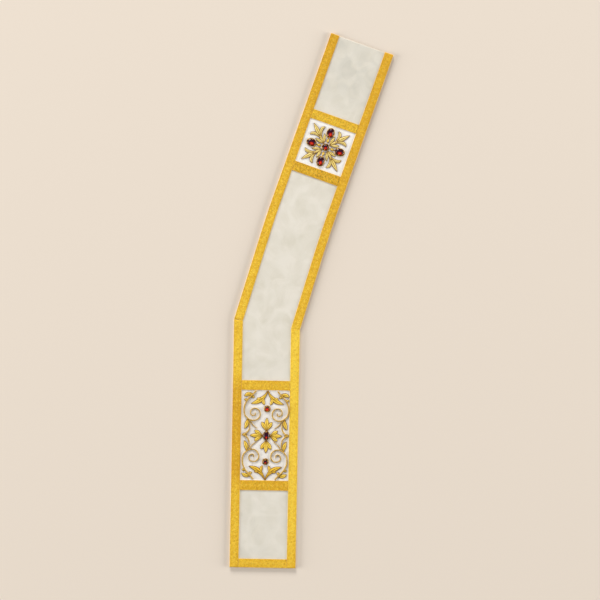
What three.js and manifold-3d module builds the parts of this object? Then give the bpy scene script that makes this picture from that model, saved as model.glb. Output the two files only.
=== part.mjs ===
// A deacon's stole lying flat on a table, folded once at the shoulder. Millimetres, +Z up.
// +Y runs from the hem towards the fold and +X to the right. The middle of the outline, on the table, is
// the origin.
import * as THREE from 'three';
import Module from 'manifold-3d';

const wasm = await Module();
wasm.setup();

// Driving dimensions of the cloth
const stoleWidth = 140;
const galloonWidth = 18.75;
const clothWall = 1;
const seamGap = 0.3;
const hiddenHeight = 2.6;
const hiddenInset = 0.6;
const clothBevel = 0.25;

// Places along the centreline, from the hem up to the fold at the shoulder
const hemBand = { from: 0, to: 18.5 };
const barBelowCross = { from: 163.9, to: 185.1 };
const barAboveCross = { from: 376.6, to: 397 };
const hipAt = 516;
const easeFrom = 681;
const easeTo = 793;
const barBelowSquare = { from: 842.7, to: 863.7 };
const barAboveSquare = { from: 960.4, to: 980.2 };
const foldAt = 1145;

// Lean of the centreline to the right of +Y, in degrees
const hangLean = 1.06;
const chestLean = 17.25;
const shoulderLean = 19.6;
const easeSteps = 4;

// Heights of the layers above the table
const groundLow = hiddenHeight + seamGap;
const groundHigh = groundLow + clothWall;
const galloonLow = groundHigh + seamGap;
const galloonHigh = galloonLow + clothWall;
const foldCentreHeight = galloonHigh / 2;
const foldTurns = 8;
const halfWidth = stoleWidth / 2;
const fieldHalfWidth = halfWidth - galloonWidth;

// Finish of each kind of piece, as the eye sees it
const finishes = {
  satin: { color: 0xe4dfd2, roughness: 0.6, metalness: 0 },
  whiteSatin: { color: 0xf2efea, roughness: 0.55, metalness: 0 },
  lining: { color: 0xdcd3c2, roughness: 0.8, metalness: 0 },
  galloon: { color: 0xdfb142, roughness: 0.5, metalness: 0.25 },
  goldwork: { color: 0xe3bc3f, roughness: 0.4, metalness: 0.5 },
  paleGoldwork: { color: 0xd9bd66, roughness: 0.45, metalness: 0.4 },
  setting: { color: 0xc99b3a, roughness: 0.3, metalness: 0.9 },
  garnet: { color: 0x3d0714, roughness: 0.08, metalness: 0 },
};

const stole = new THREE.Group();

function addPiece(parent, name, geometry, finish) {
  const mesh = new THREE.Mesh(geometry, new THREE.MeshStandardMaterial(finishes[finish]));
  mesh.name = name;
  parent.add(mesh);
}

// The centreline

function direction(lean) {
  const angle = THREE.MathUtils.degToRad(lean);
  return new THREE.Vector2(Math.sin(angle), Math.cos(angle));
}

function buildKnots() {
  const courses = [
    { length: hipAt, lean: hangLean },
    { length: easeFrom - hipAt, lean: chestLean },
  ];
  for (let step = 0; step < easeSteps; step += 1) {
    const share = (step + 0.5) / easeSteps;
    courses.push({
      length: (easeTo - easeFrom) / easeSteps,
      lean: THREE.MathUtils.lerp(chestLean, shoulderLean, share),
    });
  }
  courses.push({ length: foldAt - easeTo, lean: shoulderLean });
  const found = [];
  const point = new THREE.Vector2();
  let at = 0;
  let before = hangLean;
  for (const course of courses) {
    found.push({ at, point: point.clone(), before, after: course.lean });
    point.addScaledVector(direction(course.lean), course.length);
    at += course.length;
    before = course.lean;
  }
  return found;
}

const knots = buildKnots();

// A frame at one place: its point, the way on along the stole, and the way across to the right.
// On a knot the way across splits the bend, as a mitre does.
function frameAt(at) {
  const knot = knots.findLast((candidate) => candidate.at <= at);
  const onKnot = knot.at === at;
  const lean = onKnot ? (knot.before + knot.after) / 2 : knot.after;
  const halfBend = onKnot ? THREE.MathUtils.degToRad(knot.after - knot.before) / 2 : 0;
  const along = direction(lean);
  const across = new THREE.Vector2(along.y, -along.x).divideScalar(Math.cos(halfBend));
  const point = knot.point.clone().addScaledVector(direction(knot.after), at - knot.at);
  return { point, along, across, turn: 0 };
}

function framesBetween(from, to) {
  const between = knots.map((knot) => knot.at).filter((at) => at > from && at < to);
  return [from, ...between, to].map(frameAt);
}

// The half circle by which a layer goes round the fold and down to the table
function framesRoundFold() {
  const frames = [];
  for (let step = 0; step <= foldTurns; step += 1) {
    const frame = frameAt(foldAt - foldCentreHeight);
    frame.turn = (Math.PI * step) / foldTurns;
    frames.push(frame);
  }
  return frames;
}

// A section point, given by its offset across and its height, set in a frame
function placed(frame, offset, height) {
  const rise = height - foldCentreHeight;
  const reach = rise * Math.sin(frame.turn);
  const flat = frame.point.clone().addScaledVector(frame.across, offset);
  flat.addScaledVector(frame.along, reach);
  return new THREE.Vector3(flat.x, flat.y, foldCentreHeight + rise * Math.cos(frame.turn));
}

// Closed bodies from rings of points

function signedVolume(points, triangles) {
  let volume = 0;
  for (const [a, b, c] of triangles) {
    volume += points[a].dot(points[b].clone().cross(points[c])) / 6;
  }
  return volume;
}

function bodyFrom(points, triangles) {
  const outward = signedVolume(points, triangles) > 0;
  const geometry = new THREE.BufferGeometry().setFromPoints(points);
  geometry.setIndex(triangles.flatMap(([a, b, c]) => (outward ? [a, b, c] : [a, c, b])));
  geometry.computeVertexNormals();
  return geometry;
}

// Joins rings of equal length, with a flat cap on each end ring, or round in a closed circuit.
function loft(rings, capOutline) {
  const size = rings[0].length;
  const circuit = capOutline === undefined;
  const triangles = [];
  for (let ring = 0; ring < rings.length - (circuit ? 0 : 1); ring += 1) {
    const next = (ring + 1) % rings.length;
    for (let corner = 0; corner < size; corner += 1) {
      const beside = (corner + 1) % size;
      const a = ring * size + corner;
      const b = ring * size + beside;
      const c = next * size + beside;
      const d = next * size + corner;
      triangles.push([a, b, c], [a, c, d]);
    }
  }
  if (!circuit) {
    const last = (rings.length - 1) * size;
    const ccw = THREE.ShapeUtils.isClockWise(capOutline) ? -1 : 1;
    for (const [a, b, c] of THREE.ShapeUtils.triangulateShape([...capOutline], [])) {
      const turned = ccw * areaSign(capOutline, a, b, c) > 0;
      triangles.push(turned ? [a, c, b] : [a, b, c]);
      triangles.push(turned ? [last + a, last + b, last + c] : [last + a, last + c, last + b]);
    }
  }
  return bodyFrom(rings.flat(), triangles);
}

function areaSign(outline, a, b, c) {
  const side = outline[b].clone().sub(outline[a]);
  return side.cross(outline[c].clone().sub(outline[a]));
}

// Cloth strips

// A strip's section between two offsets across, with its upper edges eased
function stripSection(left, right, low, high) {
  return [
    new THREE.Vector2(left, low),
    new THREE.Vector2(right, low),
    new THREE.Vector2(right, high - clothBevel),
    new THREE.Vector2(right - clothBevel, high),
    new THREE.Vector2(left + clothBevel, high),
    new THREE.Vector2(left, high - clothBevel),
  ];
}

function strip(frames, section) {
  return loft(frames.map((frame) => section.map((corner) => placed(frame, corner.x, corner.y))), section);
}

// Trims the end of a strip back along its own lean, so that two strips part by the seam gap there.
function trimmed(frame, lean, distance) {
  frame.point.addScaledVector(direction(lean), distance);
  return frame;
}

// The back half and the inner layers: one solid, rounded and grooved between its layers, all round.
const hiddenLevels = [
  { height: 0, inset: 0.5 },
  { height: 0.35, inset: 0 },
  { height: 0.9, inset: 0 },
  { height: 1.3, inset: 1 },
  { height: 1.7, inset: 0 },
  { height: 2.25, inset: 0 },
  { height: hiddenHeight, inset: 0.5 },
];

function buildHiddenLayers() {
  const lowEnd = hiddenInset;
  const highEnd = foldAt - foldCentreHeight - seamGap;
  const rings = hiddenLevels.map(({ height, inset }) => {
    const offset = halfWidth - hiddenInset - inset;
    const frames = framesBetween(lowEnd + inset, highEnd - inset);
    const right = frames.map((frame) => placed(frame, offset, height));
    const left = frames.map((frame) => placed(frame, -offset, height)).reverse();
    return [...right, ...left];
  });
  const outline = rings[0].map((corner) => new THREE.Vector2(corner.x, corner.y));
  addPiece(stole, 'hidden_layers', loft(rings, outline), 'lining');
}

// The face cloth, pieced end to end. Each seam lies under the middle of a bar of galloon.
function middle(bar) {
  return (bar.from + bar.to) / 2;
}

function buildGround() {
  const pieces = [
    { name: 'ground_end', from: 0, to: middle(barBelowCross), finish: 'satin' },
    { name: 'panel_cross', from: middle(barBelowCross), to: middle(barAboveCross), finish: 'whiteSatin' },
    { name: 'ground_chest', from: middle(barAboveCross), to: middle(barBelowSquare), finish: 'satin' },
    { name: 'panel_square', from: middle(barBelowSquare), to: middle(barAboveSquare), finish: 'whiteSatin' },
    { name: 'ground_shoulder', from: middle(barAboveSquare), to: foldAt, finish: 'satin' },
  ];
  const offset = halfWidth - seamGap;
  const section = stripSection(-offset, offset, groundLow, groundHigh);
  for (const piece of pieces) {
    const start = piece.from + seamGap / 2;
    const overFold = piece.to === foldAt;
    const flatEnd = overFold ? easeTo : piece.to - seamGap / 2;
    const frames = overFold ? [frameAt(start), ...framesRoundFold()] : framesBetween(start, flatEnd);
    addPiece(stole, piece.name, strip(frames, section), piece.finish);
  }
}

// Galloon: ribbons down both sides, mitred at the hip, and bars and a hem band between them.
function buildSideGalloons() {
  const sides = [
    { name: 'left', from: -halfWidth, to: -fieldHalfWidth },
    { name: 'right', from: fieldHalfWidth, to: halfWidth },
  ];
  for (const side of sides) {
    const section = stripSection(side.from, side.to, galloonLow, galloonHigh);
    const hang = [frameAt(0), trimmed(frameAt(hipAt), hangLean, -seamGap / 2)];
    const bends = framesBetween(hipAt, foldAt).slice(1, -1);
    const shoulder = [trimmed(frameAt(hipAt), chestLean, seamGap / 2), ...bends, ...framesRoundFold()];
    addPiece(stole, `galloon_${side.name}_hang`, strip(hang, section), 'galloon');
    addPiece(stole, `galloon_${side.name}_shoulder`, strip(shoulder, section), 'galloon');
  }
}

function buildBars() {
  const bars = [
    { name: 'galloon_hem', ...hemBand },
    { name: 'bar_below_cross', ...barBelowCross },
    { name: 'bar_above_cross', ...barAboveCross },
    { name: 'bar_below_square', ...barBelowSquare },
    { name: 'bar_above_square', ...barAboveSquare },
  ];
  const offset = fieldHalfWidth - seamGap;
  const section = stripSection(-offset, offset, galloonLow, galloonHigh);
  for (const bar of bars) {
    addPiece(stole, bar.name, strip(framesBetween(bar.from, bar.to), section), 'galloon');
  }
}

// Padded goldwork: leaves and stems with a domed section over a flat underside

function domeRing(point, heading, half, rise) {
  const side = new THREE.Vector2(-heading.y, heading.x);
  const profile = [
    { across: -1, up: 0 },
    { across: 1, up: 0 },
    { across: 0.62, up: 0.72 },
    { across: 0, up: 1 },
    { across: -0.62, up: 0.72 },
  ];
  return profile.map(({ across, up }) => {
    const spot = point.clone().addScaledVector(side, across * half);
    return new THREE.Vector3(spot.x, spot.y, up * rise);
  });
}

const domeCap = domeRing(new THREE.Vector2(), new THREE.Vector2(0, 1), 1, 1).map(
  (corner) => new THREE.Vector2(-corner.x, corner.z),
);

const leafHeight = 1.5;
const leafSteps = 6;
const leafRoot = 1.6;
const leafPoint = 0.35;

// A leaf bent from its root to its tip. belly is the share of its length where it is widest.
function leaf(row, flip) {
  const curve = new THREE.QuadraticBezierCurve(
    new THREE.Vector2(row.rootX * flip.x, row.rootY * flip.y),
    new THREE.Vector2(row.bendX * flip.x, row.bendY * flip.y),
    new THREE.Vector2(row.tipX * flip.x, row.tipY * flip.y),
  );
  const skew = Math.log(0.5) / Math.log(row.belly);
  const rings = [];
  for (let step = 0; step <= leafSteps; step += 1) {
    const share = step / leafSteps;
    const swell = Math.sin(Math.PI * share ** skew);
    const root = leafRoot * (1 - share) + leafPoint * share;
    const width = root + Math.max(row.width - leafRoot, 0) * swell;
    const rise = leafHeight * (0.55 + 0.45 * swell);
    rings.push(domeRing(curve.getPoint(share), curve.getTangent(share), width / 2, rise));
  }
  return loft(rings, domeCap);
}

// A stem through its points, tapering from its first width to its last. Its rings crowd towards the end
// of a stem that winds up tightly there.
function stem(points, flip, steps, widths) {
  const stops = points.map(({ x, y }) => new THREE.Vector3(x * flip.x, y * flip.y, 0));
  const curve = new THREE.CatmullRomCurve3(stops, false, 'centripetal');
  const rings = [];
  for (let step = 0; step <= steps; step += 1) {
    const share = 1 - (1 - step / steps) ** widths.crowding;
    const point = curve.getPointAt(share);
    const heading = curve.getTangentAt(share);
    const half = THREE.MathUtils.lerp(widths.first, widths.last, share) / 2;
    const flat = new THREE.Vector2(heading.x, heading.y);
    rings.push(domeRing(new THREE.Vector2(point.x, point.y), flat, half, widths.rise));
  }
  return loft(rings, domeCap);
}

function asSolid(geometry) {
  const vertProperties = new Float32Array(geometry.getAttribute('position').array);
  const triVerts = new Uint32Array(geometry.getIndex().array);
  return new wasm.Manifold(new wasm.Mesh({ numProp: 3, vertProperties, triVerts }));
}

function joined(geometries) {
  const whole = geometries.map(asSolid).reduce((sum, next) => sum.add(next));
  const { vertProperties, triVerts } = whole.getMesh();
  const geometry = new THREE.BufferGeometry();
  geometry.setAttribute('position', new THREE.BufferAttribute(vertProperties, 3));
  geometry.setIndex(new THREE.BufferAttribute(triVerts, 1));
  geometry.computeVertexNormals();
  return geometry;
}

// Garnets in their settings

const stoneSides = 16;
const stoneLevels = [
  { inset: 0.5, height: 0 },
  { inset: 0, height: 0.28 },
  { inset: 0.12, height: 0.55 },
  { inset: 0.42, height: 0.86 },
];
const settingWall = [
  { out: 0, height: 0 },
  { out: 1, height: 0 },
  { out: 1, height: 0.55 },
  { out: 0.45, height: 1 },
  { out: 0, height: 0.9 },
];

function ovalRing(halfX, halfY, height) {
  const ring = [];
  for (let side = 0; side < stoneSides; side += 1) {
    const angle = (2 * Math.PI * side) / stoneSides;
    ring.push(new THREE.Vector3(halfX * Math.cos(angle), halfY * Math.sin(angle), height));
  }
  return ring;
}

function stone(halfX, halfY, rise) {
  const small = Math.min(halfX, halfY);
  const rings = stoneLevels.map(({ inset, height }) => {
    return ovalRing(halfX - inset * small, halfY - inset * small, height * rise);
  });
  const crown = ovalRing(halfX * 0.16, halfY * 0.16, rise);
  const outline = rings[0].map((corner) => new THREE.Vector2(corner.x, corner.y));
  return loft([...rings, crown], outline);
}

function setting(halfX, halfY, wall, rise) {
  const levels = settingWall.map(({ out, height }) => {
    return ovalRing(halfX + seamGap + out * wall, halfY + seamGap + out * wall, height * rise);
  });
  const rings = levels[0].map((_, side) => levels.map((level) => level[side]));
  return loft(rings);
}

function addGarnet(parent, name, place, sizes) {
  const stoneBody = stone(sizes.x / 2, sizes.y / 2, sizes.rise);
  const rim = setting(sizes.x / 2, sizes.y / 2, sizes.wall, sizes.rimRise);
  stoneBody.translate(place.x, place.y, 0);
  rim.translate(place.x, place.y, 0);
  addPiece(parent, `garnet_${name}`, stoneBody, 'garnet');
  addPiece(parent, `setting_${name}`, rim, 'setting');
}

// A panel's ornament is set out about the panel's middle, turned to the stole's lean there and, where it was
// mounted askew, by that many degrees more.
function ornamentGroup(from, to, askew) {
  const frame = frameAt((from + to) / 2);
  const group = new THREE.Group();
  group.position.set(frame.point.x, frame.point.y, galloonLow);
  group.rotation.z = -Math.atan2(frame.along.x, frame.along.y) - THREE.MathUtils.degToRad(askew);
  stole.add(group);
  return group;
}

const asDrawn = { x: 1, y: 1 };

// The square panel: five garnets in a cross, a gold drop between each two, a leaf spray in each corner
const roundStone = { x: 12, y: 12, rise: 4.6, wall: 1.6, rimRise: 2.2 };
const uprightStone = { x: 13, y: 18, rise: 4.8, wall: 1.7, rimRise: 2.2 };
const lyingStone = { ...uprightStone, x: 18, y: 13 };
const stoneReach = 31.6;
const dropReach = 15;
const dropLength = 9;
const dropWidth = 5.4;

// One corner spray: rootX and the like run out along the corner's diagonal, rootY to its left
const sprayLeaves = [
  { rootX: 9.5, rootY: 0, bendX: 22, bendY: 0, tipX: 36, tipY: 0, width: 5.2, belly: 0.5 },
  { rootX: 26.5, rootY: 0, bendX: 42, bendY: 0, tipX: 56.8, tipY: 0, width: 8.4, belly: 0.44 },
  { rootX: 22.5, rootY: 0.9, bendX: 43, bendY: 6.8, tipX: 39, tipY: 17.8, width: 6.8, belly: 0.6 },
  { rootX: 22.5, rootY: -0.9, bendX: 43, bendY: -6.8, tipX: 39, tipY: -17.8, width: 6.8, belly: 0.6 },
  { rootX: 10.6, rootY: 0.8, bendX: 18.5, bendY: 7, tipX: 26.8, tipY: 10.4, width: 6.2, belly: 0.55 },
  { rootX: 10.6, rootY: -0.8, bendX: 18.5, bendY: -7, tipX: 26.8, tipY: -10.4, width: 6.2, belly: 0.55 },
];
const corners = [
  { name: 'ne', x: 1, y: 1, turn: 45 },
  { name: 'nw', x: -1, y: 1, turn: 135 },
  { name: 'sw', x: -1, y: -1, turn: 225 },
  { name: 'se', x: 1, y: -1, turn: 315 },
];
const compass = [
  { name: 'east', x: 1, y: 0, turn: 0 },
  { name: 'north', x: 0, y: 1, turn: 90 },
  { name: 'west', x: -1, y: 0, turn: 180 },
  { name: 'south', x: 0, y: -1, turn: 270 },
];

function drop() {
  const row = { rootX: -dropLength / 2, rootY: 0, bendX: 0, bendY: 0, tipX: dropLength / 2, tipY: 0 };
  return leaf({ ...row, width: dropWidth, belly: 0.45 }, asDrawn);
}

function buildSquareOrnament() {
  const group = ornamentGroup(barBelowSquare.to, barAboveSquare.from, 0);
  addGarnet(group, 'square_middle', { x: 0, y: 0 }, roundStone);
  for (const way of compass) {
    const sizes = way.x === 0 ? uprightStone : lyingStone;
    addGarnet(group, `square_${way.name}`, { x: way.x * stoneReach, y: way.y * stoneReach }, sizes);
    const body = drop();
    body.rotateZ(THREE.MathUtils.degToRad(way.turn));
    body.translate(way.x * dropReach, way.y * dropReach, 0);
    addPiece(group, `drop_${way.name}`, body, 'goldwork');
  }
  for (const corner of corners) {
    const spray = joined(sprayLeaves.map((row) => leaf(row, asDrawn)));
    spray.rotateZ(THREE.MathUtils.degToRad(corner.turn));
    addPiece(group, `spray_${corner.name}`, spray, 'paleGoldwork');
  }
}

// The tall panel: a leaf cross on a garnet, a scrolling vine in each corner, leaf pairs at both ends
const tallAskew = 1;
const crossShift = { x: 3, y: -0.8 };
const vineShift = { x: 1.2, y: 0.2 };
const crossStone = { x: 10.4, y: 14.4, rise: 4.4, wall: 1.5, rimRise: 2.2 };
const smallStone = { x: 9.4, y: 9.4, rise: 3.8, wall: 1.9, rimRise: 2 };
const smallStoneTop = 57.2;
const smallStoneBottom = -55.2;
const armRows = {
  east: { root: 7.9, reach: 32.7, sideReach: 23.5 },
  north: { root: 9.9, reach: 37.7, sideReach: 28.8 },
  west: { root: 7.9, reach: 34.6, sideReach: 25 },
  south: { root: 9.9, reach: 36.5, sideReach: 28.4 },
};
const sideSpread = 11.2;

function buildCross(panel) {
  const group = new THREE.Group();
  group.position.set(crossShift.x, crossShift.y, 0);
  panel.add(group);
  addGarnet(group, 'cross_middle', { x: 0, y: 0 }, crossStone);
  addGarnet(group, 'cross_top', { x: 0, y: smallStoneTop }, smallStone);
  addGarnet(group, 'cross_bottom', { x: 0, y: smallStoneBottom }, smallStone);
  for (const way of compass) {
    const { root, reach, sideReach } = armRows[way.name];
    const bend = (root + sideReach) / 2;
    const petal = { rootX: root, belly: 0.66 };
    const middlePetal = { ...petal, rootY: 0, bendX: bend, bendY: 0, tipX: reach, tipY: 0, width: 8.8 };
    const sidePetals = [1, -1].map((side) => ({
      ...petal,
      rootY: side * 0.7,
      bendX: bend,
      bendY: side * 4.6,
      tipX: sideReach,
      tipY: side * sideSpread,
      width: 8.6,
    }));
    const arm = joined([middlePetal, ...sidePetals].map((row) => leaf(row, asDrawn)));
    arm.rotateZ(THREE.MathUtils.degToRad(way.turn));
    addPiece(group, `cross_arm_${way.name}`, arm, 'goldwork');
  }
}

// One quarter of the vine. x runs outwards from the vine's middle line and y away from the panel's middle.
const vineStem = [
  { x: 23.2, y: 93.4 },
  { x: 29.5, y: 86 },
  { x: 39.3, y: 76 },
  { x: 45.8, y: 64 },
  { x: 47.4, y: 53 },
  { x: 45, y: 41.5 },
];
const scroll = { x: 25.8, y: 46.2, outer: 16.8, inner: 2, from: -50, sweep: 504, step: 28 };
const vineBranch = [
  { x: 34.5, y: 31.3 },
  { x: 27.5, y: 21.5 },
  { x: 18.2, y: 13.6 },
];
const vineLeaves = [
  { rootX: 39.4, rootY: 34, bendX: 38.8, bendY: 23.5, tipX: 44.9, tipY: 12.6, width: 8.6, belly: 0.55 },
  { rootX: 29.4, rootY: 85.6, bendX: 39.5, bendY: 88.4, tipX: 47.6, tipY: 81.8, width: 8.6, belly: 0.55 },
  { rootX: 33.4, rootY: 82, bendX: 30.2, bendY: 80.8, tipX: 26.4, tipY: 80, width: 5.8, belly: 0.62 },
  { rootX: 40.6, rootY: 74, bendX: 43.6, bendY: 74.6, tipX: 47.4, tipY: 74.4, width: 5.6, belly: 0.62 },
];
const vineWidths = { first: 2.8, last: 1.8, rise: 1.2, crowding: 1.5 };
const branchWidths = { first: 1.8, last: 1.3, rise: 1, crowding: 1 };

// The scroll winds inwards about its middle, its radius shrinking evenly.
function scrollPoints() {
  const points = [];
  for (let swept = 0; swept <= scroll.sweep; swept += scroll.step) {
    const angle = THREE.MathUtils.degToRad(scroll.from - swept);
    const radius = THREE.MathUtils.lerp(scroll.outer, scroll.inner, swept / scroll.sweep);
    points.push({ x: scroll.x + radius * Math.cos(angle), y: scroll.y + radius * Math.sin(angle) });
  }
  return points;
}

const curlStem = [
  { x: 35.1, y: 27.6 },
  { x: 34.1, y: 20 },
  { x: 35.5, y: 11 },
  { x: 40.5, y: 4.2 },
  { x: 46, y: 0.3 },
];
const curlWidths = { first: 1.6, last: 3.2, rise: 1.2, crowding: 1 };
const knob = { rootX: 40, rootY: 0, bendX: 44.6, bendY: 0, tipX: 49.3, tipY: 0, width: 7.4, belly: 0.5 };

function buildVine(panel) {
  const group = new THREE.Group();
  group.position.set(vineShift.x, vineShift.y, 0);
  panel.add(group);
  for (const corner of corners) {
    const main = stem([...vineStem, ...scrollPoints()], corner, 36, vineWidths);
    const branch = stem(vineBranch, corner, 4, branchWidths);
    const leaves = vineLeaves.map((row) => leaf(row, corner));
    addPiece(group, `vine_${corner.name}`, joined([main, branch, ...leaves]), 'goldwork');
  }
  for (const way of [{ name: 'right', x: 1 }, { name: 'left', x: -1 }]) {
    const upper = stem(curlStem, { x: way.x, y: 1 }, 8, curlWidths);
    const lower = stem(curlStem, { x: way.x, y: -1 }, 8, curlWidths);
    const bud = leaf(knob, { x: way.x, y: 1 });
    addPiece(group, `curl_${way.name}`, joined([upper, lower, bud]), 'goldwork');
  }
}

// Half of a leaf pair, which springs from the bar on the panel's middle line: a long leaf that bends
// outwards, a lobe on its outer side and a small leaf on its inner side
const pairLeaves = [
  { rootX: 0.5, rootY: 94.3, bendX: 8.5, bendY: 72.2, tipX: 34.4, tipY: 66.6, width: 10, belly: 0.62 },
  { rootX: 10, rootY: 77.6, bendX: 16.5, bendY: 75.8, tipX: 22.8, tipY: 78.2, width: 6.6, belly: 0.6 },
  { rootX: 7.4, rootY: 80.4, bendX: 10.8, bendY: 72, tipX: 6, tipY: 64.6, width: 6.6, belly: 0.62 },
];

function buildLeafPairs(panel) {
  const group = new THREE.Group();
  group.position.set(crossShift.x, 0, 0);
  panel.add(group);
  for (const way of [{ name: 'top', y: 1 }, { name: 'bottom', y: -1 }]) {
    const halves = [1, -1].flatMap((x) => pairLeaves.map((row) => leaf(row, { x, y: way.y })));
    addPiece(group, `leaf_pair_${way.name}`, joined(halves), 'goldwork');
  }
}

function buildTallOrnament() {
  const panel = ornamentGroup(barBelowCross.to, barAboveCross.from, tallAskew);
  buildCross(panel);
  buildVine(panel);
  buildLeafPairs(panel);
}

// Moves the whole so that the middle of its outline, on the table, is the origin.
function centreOnOutline() {
  stole.updateMatrixWorld(true);
  const middlePoint = new THREE.Box3().setFromObject(stole, true).getCenter(new THREE.Vector3());
  stole.position.set(-middlePoint.x, -middlePoint.y, 0);
  stole.updateMatrixWorld(true);
}

buildHiddenLayers();
buildGround();
buildSideGalloons();
buildBars();
buildSquareOrnament();
buildTallOrnament();
centreOnOutline();

export default stole;
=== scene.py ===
# A deacon's stole lying flat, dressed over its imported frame.
# Shapes are worked out in millimetres and made in metres. +Y runs from the hem to the fold, +X to the right.
import math

import bpy
import numpy as np
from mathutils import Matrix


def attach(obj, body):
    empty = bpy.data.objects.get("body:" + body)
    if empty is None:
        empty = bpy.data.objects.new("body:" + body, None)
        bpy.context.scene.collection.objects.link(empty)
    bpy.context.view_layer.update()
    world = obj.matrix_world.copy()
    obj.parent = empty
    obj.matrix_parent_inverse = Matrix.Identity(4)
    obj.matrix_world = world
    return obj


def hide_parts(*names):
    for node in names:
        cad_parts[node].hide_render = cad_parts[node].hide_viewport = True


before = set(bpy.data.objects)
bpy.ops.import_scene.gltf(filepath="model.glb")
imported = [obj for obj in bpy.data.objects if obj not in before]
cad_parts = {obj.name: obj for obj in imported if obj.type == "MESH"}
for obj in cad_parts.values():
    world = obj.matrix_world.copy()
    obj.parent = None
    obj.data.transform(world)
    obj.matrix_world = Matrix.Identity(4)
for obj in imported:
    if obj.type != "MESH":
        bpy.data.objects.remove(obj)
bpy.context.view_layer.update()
scene = bpy.context.scene
mm = 0.001


# Camera: straight above, with the photo's framing

cameraSettings = {
    "right": -24.3,  # mm, where the middle of the picture falls
    "up": 1.1,
    "frameWidth": 1272.7,
    "lens": 85.0,
    "sensor": 36.0,
    "surface": 4.5,  # mm, height at which the frame has that width
}


def makeCamera():
    data = bpy.data.cameras.new("stoleCamera")
    data.lens = cameraSettings["lens"]
    data.sensor_width = cameraSettings["sensor"]
    camera = bpy.data.objects.new("stoleCamera", data)
    distance = cameraSettings["frameWidth"] * cameraSettings["lens"] / cameraSettings["sensor"]
    height = distance + cameraSettings["surface"]
    camera.location = (cameraSettings["right"] * mm, cameraSettings["up"] * mm, height * mm)
    scene.collection.objects.link(camera)
    scene.camera = camera


# Node helpers, shared by materials and Geometry Nodes. A socket knows the tree that it is in.

def feed(value, socket):
    if isinstance(value, bpy.types.NodeSocket):
        socket.id_data.links.new(value, socket)
    else:
        socket.default_value = value


def addNode(tree, kind, values=None, **settings):
    node = tree.nodes.new(kind)
    for key, value in settings.items():
        setattr(node, key, value)
    for key, value in (values or {}).items():
        feed(value, node.inputs[key])
    return node


# For a node of which only the first output is wanted
def addStep(tree, kind, values=None, **settings):
    return addNode(tree, kind, values, **settings).outputs[0]


def calc(operation, *values):
    tree = next(value for value in values if isinstance(value, bpy.types.NodeSocket)).id_data
    return addStep(tree, "ShaderNodeMath", dict(enumerate(values)), operation=operation)


def plus(first, second):
    return calc("ADD", first, second)


def minus(first, second):
    return calc("SUBTRACT", first, second)


def times(first, second):
    return calc("MULTIPLY", first, second)


def unsigned(value):
    return calc("ABSOLUTE", value)


def hypotenuse(first, second):
    return calc("SQRT", plus(calc("POWER", first, 2.0), calc("POWER", second, 2.0)))


def mixed(share, first, second):
    values = {0: share, 6: first, 7: second}
    return addNode(share.id_data, "ShaderNodeMix", values, data_type="RGBA").outputs[2]


def mapped(value, low, high, first=0.0, last=1.0, way="LINEAR"):
    span = {"Value": value, "From Min": low, "From Max": high, "To Min": first, "To Max": last}
    return addStep(value.id_data, "ShaderNodeMapRange", span, interpolation_type=way)


# 1 where value is under low, 0 where it is over high, soft between
def within(value, low, high):
    return mapped(value, low, high, 1.0, 0.0, "SMOOTHSTEP")


def noiseAt(place, size, detail=2.0, distortion=0.0):
    values = {"Vector": place, "Scale": size, "Detail": detail, "Distortion": distortion}
    return addStep(place.id_data, "ShaderNodeTexNoise", values)


def objectPlace(tree):
    return addNode(tree, "ShaderNodeTexCoord").outputs["Object"]


def attribute(tree, name):
    return addNode(tree, "ShaderNodeAttribute", attribute_name=name).outputs["Fac"]


def rampAt(share, stops):
    node = addNode(share.id_data, "ShaderNodeValToRGB", {"Fac": share})
    marks = node.color_ramp.elements
    for mark, (position, shade) in zip(marks, (stops[0], stops[2])):
        mark.position, mark.color = position, shade
    marks.new(stops[1][0]).color = stops[1][1]
    return node.outputs["Color"]


def colour(red, green, blue):
    shares = [value / 255 for value in (red, green, blue)]
    linear = [s / 12.92 if s <= 0.04045 else ((s + 0.055) / 1.055) ** 2.4 for s in shares]
    return (*linear, 1.0)


def newMaterial(name, finish):
    material = bpy.data.materials.new(name)
    material.use_nodes = True
    tree = material.node_tree
    shader = tree.nodes["Principled BSDF"]
    for socket, value in finish.items():
        shader.inputs[socket].default_value = value
    return material, tree, shader


def addBump(shader, height, depth):
    values = {"Height": height, "Distance": depth * mm}
    feed(addStep(shader.id_data, "ShaderNodeBump", values), shader.inputs["Normal"])


clothMapUnit = 100.0  # mm, one unit of a cloth's own map


# The map's place, and across and along the cloth in mm
def clothPlace(tree):
    place = addNode(tree, "ShaderNodeUVMap", uv_map="clothMap").outputs["UV"]
    parts = addNode(tree, "ShaderNodeSeparateXYZ", {"Vector": place}).outputs
    return place, times(parts[0], clothMapUnit), times(parts[1], clothMapUnit)


def threads(value, pitch):
    return calc("SINE", times(value, math.tau / pitch))


# Materials

damask = {
    "light": colour(229, 223, 211),
    "deep": colour(217, 211, 196),
    "figure": colour(234, 230, 220),
    # colour of the painted shade, darker towards the hem and the fold
    "shaded": colour(206, 202, 190),
    "figureShare": 0.14,
    "figureWidth": 52.0,  # mm, one repeat of the ogee figure
    "figureLength": 78.0,
    "wander": (5.0, 18.0),  # scale of the noise that bends the figure, and mm of bend
    "veins": 9.0,
    "cloudScale": 2.2,
    # scale of the uneven patches in the painted shade
    "paintedShadeCloudScale": 3.2,
    "threadPitch": 0.55,
    "weaveShare": 0.3,
    "relief": 0.05,  # mm
    "finish": {"Roughness": 0.8, "Specular IOR Level": 0.2, "Sheen Weight": 0.06, "Sheen Roughness": 0.4},
}


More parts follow.
